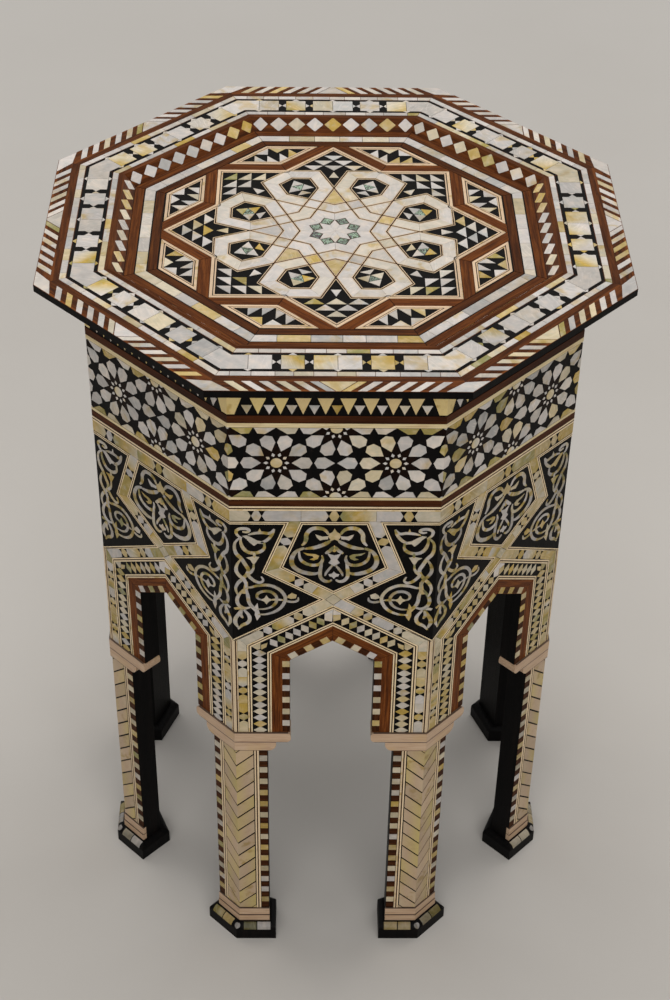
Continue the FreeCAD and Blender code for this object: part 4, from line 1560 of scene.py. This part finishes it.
for tray in arch:
    for shape, tint, shade in APEX:
        tray.cut(shape, "pearl", tint=tint, shade=shade, joint=0.06)
    for turned in BOTH_HANDS:
        for i in range(RHOMBS):
            s, z = over(DIAMOND_TOP - BAND / 2, FIRST_RHOMB + RHOMB_PITCH * i)
            tray.cut(turned([(s + a, z + b) for a, b in RHOMB]), "pearl", odd=0.2, joint=0.1)
        z = BASE + 2.0
        while z < band_in[1][1] - 1:
            brick = trim([(column + a, z + b) for a, b in BRICK], 0, -1, -BASE - 0.1)
            tray.cut(turned(brick), "pearl", odd=0.3, joint=0.08, slope=0.08)
            z += BRICK_PITCH
        outer, inner = over(DIAMOND_TOP, DIAMOND_OUT - 0.4), over(DIAMOND_TOP - 2.4, DIAMOND_IN + 4.4)
        tray.cut(turned([(column + 1.2, z - 3.2), (column + 5.2, z), outer, over(DIAMOND_TOP, inner[0]),
                         (inner[0], z - 1.8)]), "pearl", odd=0.1)
        tray.cut(turned([(column - 1.2, z - 3.2), (inner[0], z - 1.8), inner, (DIAMOND_IN - 0.6, z + 4.2),
                         (DIAMOND_IN + 0.3, z - 0.4)]), "pearl", tint=GOLD - 0.1)
        for i in range(CHECKS):
            z = BASE + 6.4 + CHECK_PITCH * i
            tray.cut(turned(boxed(OPENING, z, OPENING + 5.5, z + 5.8)), "pearl", odd=0.3, joint=0.08)
            tray.cut(turned(boxed(OPENING, z - 5.9, OPENING + 5.4, z)), **DARK)
        for i in range(HEAD_CHECKS):
            s, z = turned_to([(4.3 + HEAD_PITCH * i, 2.9)], 0, ARCH_TOP, lean)[0]
            shape = turned_to(boxed(-3.1, -2.7, 3.1, 2.7), s, z, lean)
            tray.cut(turned(shape), **(DARK if i % 2 else {"stuff": "pearl", "odd": 0.25, "joint": 0.08}))
    tray.glue()
print("arch:", count(arch))

# %% [markdown]
# ## Legs
# Each leg shows two faces. Strips of bone slant down to the corner, so that both faces together make a
# herringbone. A fine line and a column of red and pearl squares finish the inner edge. The strips
# are stained from one end to the other, so each gets a tint that fades along it. A brick texture
# could draw the strips, but it would not meet at the corner or leave real joints.

# %% Herringbone legs
LEG_IN, CHECK, WEAVE = 45.5, 51.6, 55.2
FIRST_SLAT, SLAT, FALL = 17.8, 14.25, 12.6
RED_CHECK, PEARL_CHECK, OTHER_LEG = 6.4, 5.9, 92.0
LEG_LINES = ((WEAVE - 1.3, WEAVE - 0.1, "bone"), (WEAVE - 2.1, WEAVE - 1.3, "red"),
             (CHECK + 0.1, WEAVE - 2.1, "bone"))
z0, z1 = COLLAR_TOP + 0.2, LEG_TOP - 0.2
legs = [Inlay(f"leg_inlay_{k + 1}", side_bed(k), 160 + k, usual=WARM_SHELLS, edge=HALF) for k in range(8)]
for tray in legs:
    for turned in BOTH_HANDS:
        tray.slide = (0.0 if turned is list else OTHER_LEG, 0.0)
        for i in range(-2, 14):
            z = LEG_TOP - FIRST_SLAT - SLAT * i
            slat = [(WEAVE, z + FALL), (HALF, z), (HALF, z + SLAT), (WEAVE, z + SLAT + FALL)]
            slat = trim(trim(slat, 0, 1, z1), 0, -1, -z0)
            if len(slat) > 2:
                ends = turned([(WEAVE, z), (HALF, z)])[::tray.chance.choice((1, -1))]
                stained = fade(*ends, tray.chance.uniform(0.2, 0.6), tray.chance.uniform(0.6, 1.0))
                tray.cut(turned(slat), "bone", tint=stained, shade=tray.chance.uniform(-1.1, -0.4),
                         joint=tray.chance.uniform(0.8, 1.3), slope=0.08)
        for s0, s1, stuff in LEG_LINES:
            tray.cut(turned(boxed(s0, z0, s1, z1)), stuff, **fine_kind(stuff))
        z, red = z1, True
        while z > z0 + 1:
            end = max(z - (RED_CHECK if red else PEARL_CHECK), z0)
            tray.cut(turned(boxed(LEG_IN, end, CHECK, z)), "red" if red else "pearl", odd=0.35, way=0.0,
                     joint=0.1, shade=-0.8 if red else tray.chance.uniform(-0.6, 0.4))
            z, red = end, not red
    tray.glue()
print("legs:", count(legs))

# %% [markdown]
# ## Feet
# On the rounded shoulder of each foot sit curved plates of pearl, and a round one on its corner. A flat
# tile could be bent with a modifier, but these follow the quarter round of the solid exactly, because
# they are swept round its centre line.

# %% Curved plates
FOOT_ROUND, PLATE_IN, PLATE_OUT = 5.0, 0.25, 0.18
DISC, DISC_HALF_TURN, OTHER_FOOT = 2.4, 27, 86.0
PLATES = (44.6, 54.8), (55.6, 65.4)


def curved_plate(tray, ends, sign, tint, low_angle=10, high_angle=82, steps=6):
    """A plate over the foot's rounded shoulder. ends gives its two ends along the side for an angle."""
    rings, faces = [], []
    for i in range(steps + 1):
        degrees = low_angle + (high_angle - low_angle) * i / steps
        a = math.radians(degrees)
        for radius in (FOOT_ROUND - PLATE_IN, FOOT_ROUND + PLATE_OUT):
            out = FOOT_FACE - BODY - FOOT_ROUND + radius * math.cos(a)
            for s in ends(degrees, BODY + out):
                rings.append((sign * s, FOOT_TOP - FOOT_ROUND + radius * math.sin(a), out))
    for i in range(0, 4 * steps, 4):
        quads = [[i + 2, i + 3, i + 7, i + 6], [i + 1, i, i + 4, i + 5],
                 [i, i + 2, i + 6, i + 4], [i + 3, i + 1, i + 5, i + 7]]
        faces += [(q if sign > 0 else q[::-1], n == 1) for n, q in enumerate(quads)]
    last = 4 * steps
    for q in ([0, 1, 3, 2], [last + 2, last + 3, last + 1, last]):
        faces.append((q if sign > 0 else q[::-1], True))
    shade, way = tray.chance.uniform(-1.5, -0.6), tray.chance.uniform(0, 3)
    tray.mesh_piece(rings, faces, "pearl", tint, shade, way)


def disc_ends(degrees, out):
    """From the corner of the foot to the rim of a disc that is centred on it."""
    reach = math.sqrt(max(DISC ** 2 - (FOOT_ROUND * math.radians(degrees - 45)) ** 2, 0.04))
    return out * SLANT - reach, out * SLANT


feet = [Inlay(f"foot_inlay_{k + 1}", side_bed(k), 180 + k, usual=WARM_SHELLS) for k in range(8)]
for tray in feet:
    for sign in (1, -1):
        tray.slide = (0.0 if sign > 0 else OTHER_FOOT, 0.0)
        for plate in PLATES:
            curved_plate(tray, lambda degrees, out: plate, sign, tray.tone("pearl", None, None, 0.5)[0])
        curved_plate(tray, disc_ends, sign, PINK, 45 - DISC_HALF_TURN, 45 + DISC_HALF_TURN, 8)
    tray.glue()
print("plates on the feet:", count(feet))

# %% [markdown]
# ## Wood for the solids
# The solids keep their shape and get better finishes. The rails and strips run round the table, so
# their grain has to turn with the side that they are on. The angle about the middle, rounded to an
# eighth of a turn, tells the shader which side a point belongs to. The grain then follows that
# side and changes at the mitres, as in real boards.

# %% Boards
SCUFF = srgb(92, 76, 64)


def side_places(wire):
    """The place along a side, the distance from the middle, and the height, in millimetres."""
    x, y, z = (v * 1000 for v in parts(wire.add("ShaderNodeTexCoord", out="Object")))
    turn = wire.math("ROUND", wire.math("ARCTAN2", y, x) / EIGHTH) * EIGHTH
    c, s = wire.math("COSINE", turn), wire.math("SINE", turn)
    return y * c - x * s, x * c + y * s, z


def board(tones, rough, upright=False, wear=0.0):
    """A solid board's finish: long streaks along its grain, pores, and worn places."""
    def paint(wire):
        along, out, z = side_places(wire)
        run, cross = (z, along) if upright else (along, z)
        place = together(wire, run, cross, out)
        streak = noise(stretched(place, 0.02, 0.30, 0.30), detail=6.0, rough=0.62, bend=0.5)
        fleck = noise(stretched(place, 0.16, 2.2, 2.2), detail=2.0)
        broad = noise(stretched(place, 0.01, 0.03, 0.03), detail=2.0)
        worn = noise(together(wire, along, out, z), 0.25, detail=5.0, rough=0.7)
        scuff = between(worn, 0.60, 0.74)
        return {"Base Color": mix(scuff * wear, wood_tones(broad, streak, fleck, *tones), SCUFF),
                "Roughness": rough + 0.20 * fleck + 0.15 * scuff,
                "Normal": bump(wire, 0.6 * streak + fleck, 0.00010)}
    return paint


ROSEWOOD = srgb(28, 11, 4), srgb(80, 41, 15), srgb(128, 72, 32)
DARK_ROSEWOOD = srgb(30, 12, 4), srgb(64, 31, 11), srgb(92, 48, 20)
PALE_PINE = srgb(82, 54, 34), srgb(128, 90, 58), srgb(156, 116, 78)
rosewood = finish("rosewood_board", board(ROSEWOOD, 0.32, wear=0.05), **SATIN)
waist_wood = finish("dark_rosewood_board", board(DARK_ROSEWOOD, 0.34, wear=0.05), **SATIN)
ebony = finish("ebony_board", board(BLACK, 0.36, True, 0.06), **MATT)
carcass = finish("carcass_board", board(PALE_PINE, 0.55, wear=0.2), IOR=1.45)

# %% [markdown]
# Corbels, collars and fillets are pale pinkish strips with fine dark lines where two of them meet. These
# are partly glue and partly painted shade, the dark of the crease where one solid steps over the next.
# The solids touch there without a gap, so the line is drawn by height. The screws under the table are
# brushed steel with a little rust.

# %% Pale strips and steel
STRIP_AGE, GLUE_AND_CREASE_SHADE = srgb(190, 158, 112), srgb(52, 32, 24)
BRIGHT_STEEL, RUST = srgb(150, 147, 142), srgb(96, 62, 42)
GLUE_AND_SHADE_LINES = CORBEL_TOP, CORBEL_STEP, LEG_TOP, COLLAR_TOP, FOOT_TOP + 6.6, FOOT_TOP


def strip_of(dark, mid, bright):
    """A pale strip's finish in three tones."""
    def paint(wire):
        along, out, z = side_places(wire)
        place = together(wire, along, z, out)
        streak = noise(stretched(place, 0.05, 0.9, 0.9), detail=5.0, rough=0.6, bend=0.4)
        stain = noise(stretched(place, 0.05, 0.06, 0.06))
        colour = ramp(streak, (0.25, dark), (0.5, mid), (0.8, bright))
        colour = mix(0.5 * between(stain, 0.5, 0.72), colour, STRIP_AGE)
        # The dark lines at the joints are partly glue and partly painted shade in the crease between two
        # solids.
        line = 0.0
        for height in GLUE_AND_SHADE_LINES:
            line = wire.math("MAXIMUM", line, 1 - between(abs(z - height), 0.25, 0.55))
        return {"Base Color": mix(0.85 * line, colour, GLUE_AND_CREASE_SHADE), "Roughness": 0.36 + 0.2 * streak,
                "Normal": bump(wire, streak - line, 0.00012)}
    return paint


def steel_paint(wire):
    place = wire.add("ShaderNodeTexCoord", out="Object")
    brushed = noise(stretched(place, 900, 900, 4000))
    rust = between(noise(place, 600, detail=4.0), 0.58, 0.7)
    return {"Base Color": mix(0.6 * rust, BRIGHT_STEEL, RUST), "Normal": bump(wire, brushed, 0.00002),
            "Roughness": 0.3 + 0.25 * brushed + 0.3 * rust}


PINKISH = srgb(160, 124, 94), srgb(188, 157, 127), srgb(204, 178, 150)
CREAMY = srgb(190, 164, 116), srgb(220, 200, 152), srgb(232, 216, 176)
pale = finish("pale_strip", strip_of(*PINKISH), IOR=1.5, Coat_Weight=0.06)
fillet = finish("cream_fillet", strip_of(*CREAMY), IOR=1.5, Coat_Weight=0.1)
steel = finish("screw_steel", steel_paint, Metallic=1.0)

# %% [markdown]
# The finishes are handed out by the names of the solids: the first entry that a name starts with wins.
# A slot can keep its material on the mesh or on the object. Here it is kept on the object, so that
# the mesh from the CAD model stays exactly as it came.

# %% Dress the solids
WOODS = {
    "top_core": ebony, "rim_rail": rosewood, "rim_edge": ebony, "side_panel": ebony,
    "upper_strips": waist_wood, "waist": waist_wood, "upper_fillets": fillet, "lower_fillets": fillet,
    "upper_": pale, "lower_": pale, "leg_": ebony, "foot_screws": steel, "foot": ebony,
    "top_cleats": carcass, "cleat_screws": steel,
}
for node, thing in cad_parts.items():
    if not thing.material_slots:
        thing.data.materials.append(None)
    for slot in thing.material_slots:
        slot.link = "OBJECT"
        slot.material = next(made for start, made in WOODS.items() if node.startswith(start))
print("dressed", len(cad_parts), "solids")

# %% [markdown]
# ## Floor, light and camera
# A plain pale floor shows the table without telling a story of its own. Far from the table the floor
# fades into the colour of the backdrop, for the camera and in reflections only, so that low views
# have no dark horizon. It lights nothing, and near the table the floor keeps the shadow.

# %% Floor
BACKDROP, BARE = srgb(196, 192, 186), (0.0, 0.0, 0.0)
FLOOR_DARK, FLOOR_PALE = srgb(196, 190, 182), srgb(210, 205, 198)
FADE_START, FADE_END, FLOOR_HALF = 0.7, 2.6, 6


def seen(wire):
    """1 for what the camera sees, itself or in a reflection, and 0 for light."""
    camera, gloss, glass = (wire.add("ShaderNodeLightPath", out=f"Is {ray} Ray")
                            for ray in ("Camera", "Glossy", "Transmission"))
    return wire.math("MINIMUM", camera + gloss + glass, 1.0)


def floor_paint(wire):
    place = wire.add("ShaderNodeTexCoord", out="Object")
    fine = noise(place, 90.0)
    far = between(vector("LENGTH", place, out="Value"), FADE_START, FADE_END) * seen(wire)
    colour = mix(noise(place, 2.2, detail=4.0), FLOOR_DARK, FLOOR_PALE)
    return {"Base Color": mix(far, colour, BARE), "Emission Color": mix(far, BARE, BACKDROP),
            "Roughness": 0.55 + 0.2 * fine, "Normal": bump(wire, fine, 0.0001)}


floor_mesh = bpy.data.meshes.new("floor")
floor_mesh.from_pydata([(FLOOR_HALF * x, FLOOR_HALF * y, 0) for x, y in ((-1, -1), (1, -1), (1, 1), (-1, 1))],
                       [], [(0, 1, 2, 3)])
plaster = finish("floor_plaster", floor_paint, Emission_Strength=1.0, Specular_IOR_Level=0.0)
floor_mesh.materials.append(plaster)
floor = bpy.data.objects.new("floor", floor_mesh)
bpy.context.scene.collection.objects.link(floor)

# %% [markdown]
# The light is that of a studio: one wide soft lamp in front, one behind on each side, one above and a
# dim even world. Small lamps would give the same light on the wood, but polished shell would mirror
# them as glaring spots. A wide lamp of the same power has a dim mirror image.

# %% Light
AMBIENT = 0.106, 0.106, 0.108
world = bpy.data.worlds.new("studio")
bpy.context.scene.world = world
world.use_nodes = True
sky, background = Wire(world.node_tree), world.node_tree.nodes["Background"]
world.node_tree.links.new(mix(seen(sky), AMBIENT, BACKDROP).socket, background.inputs["Color"])


def soft_lamp(name, place, target, size, power):
    lamp = bpy.data.lights.new(name, "AREA")
    lamp.shape, lamp.size, lamp.energy = "DISK", size, power
    made = bpy.data.objects.new(name, lamp)
    made.location = place
    made.rotation_euler = (Vector(target) - Vector(place)).to_track_quat("-Z", "Y").to_euler()
    bpy.context.scene.collection.objects.link(made)


soft_lamp("window_front", (0.1, -2.4, 1.7), (0, 0, 0.3), 3.4, 47)
soft_lamp("window_right", (2.2, 1.8, 1.6), (0, 0, 0.3), 2.6, 23)
soft_lamp("window_left", (-2.2, 1.8, 1.6), (0, 0, 0.3), 2.6, 23)
soft_lamp("sky", (0.0, 0.4, 2.5), (0, 0, 0.5), 2.4, 31)

# %% [markdown]
# The camera stands where the photograph was taken: above the top, looking down, close enough for the
# verticals to lean together. Its place, its angles and its focal length were found by fitting the
# corners of the table. A track constraint could aim it too, but it could not give the slight roll.

# %% Camera
YAW, DOWN, ROLL = math.radians(1.31), math.radians(39.43), math.radians(1.11)
FOCUS, PICTURE_HIGH, SENSOR = 1881.7, 1000, 36.0
STANDPOINT = -0.0216, -1.0999, 1.2111
ahead = Vector((math.sin(YAW) * math.cos(DOWN), math.cos(YAW) * math.cos(DOWN), -math.sin(DOWN)))
right = Vector((math.cos(YAW), -math.sin(YAW), 0))
up = right.cross(ahead)
right, up = right * math.cos(ROLL) + up * math.sin(ROLL), up * math.cos(ROLL) - right * math.sin(ROLL)
lens = bpy.data.cameras.new("photographer")
lens.sensor_width, lens.lens = SENSOR, FOCUS / PICTURE_HIGH * SENSOR
lens.clip_end = 50
camera = bpy.data.objects.new("photographer", lens)
camera.matrix_world = Matrix((right, up, -ahead)).transposed().to_4x4()
camera.location = STANDPOINT
bpy.context.scene.collection.objects.link(camera)
bpy.context.scene.camera = camera
bpy.context.scene.view_settings.view_transform = "Standard"
print("lens", round(lens.lens, 2), "mm")

# %% [markdown]
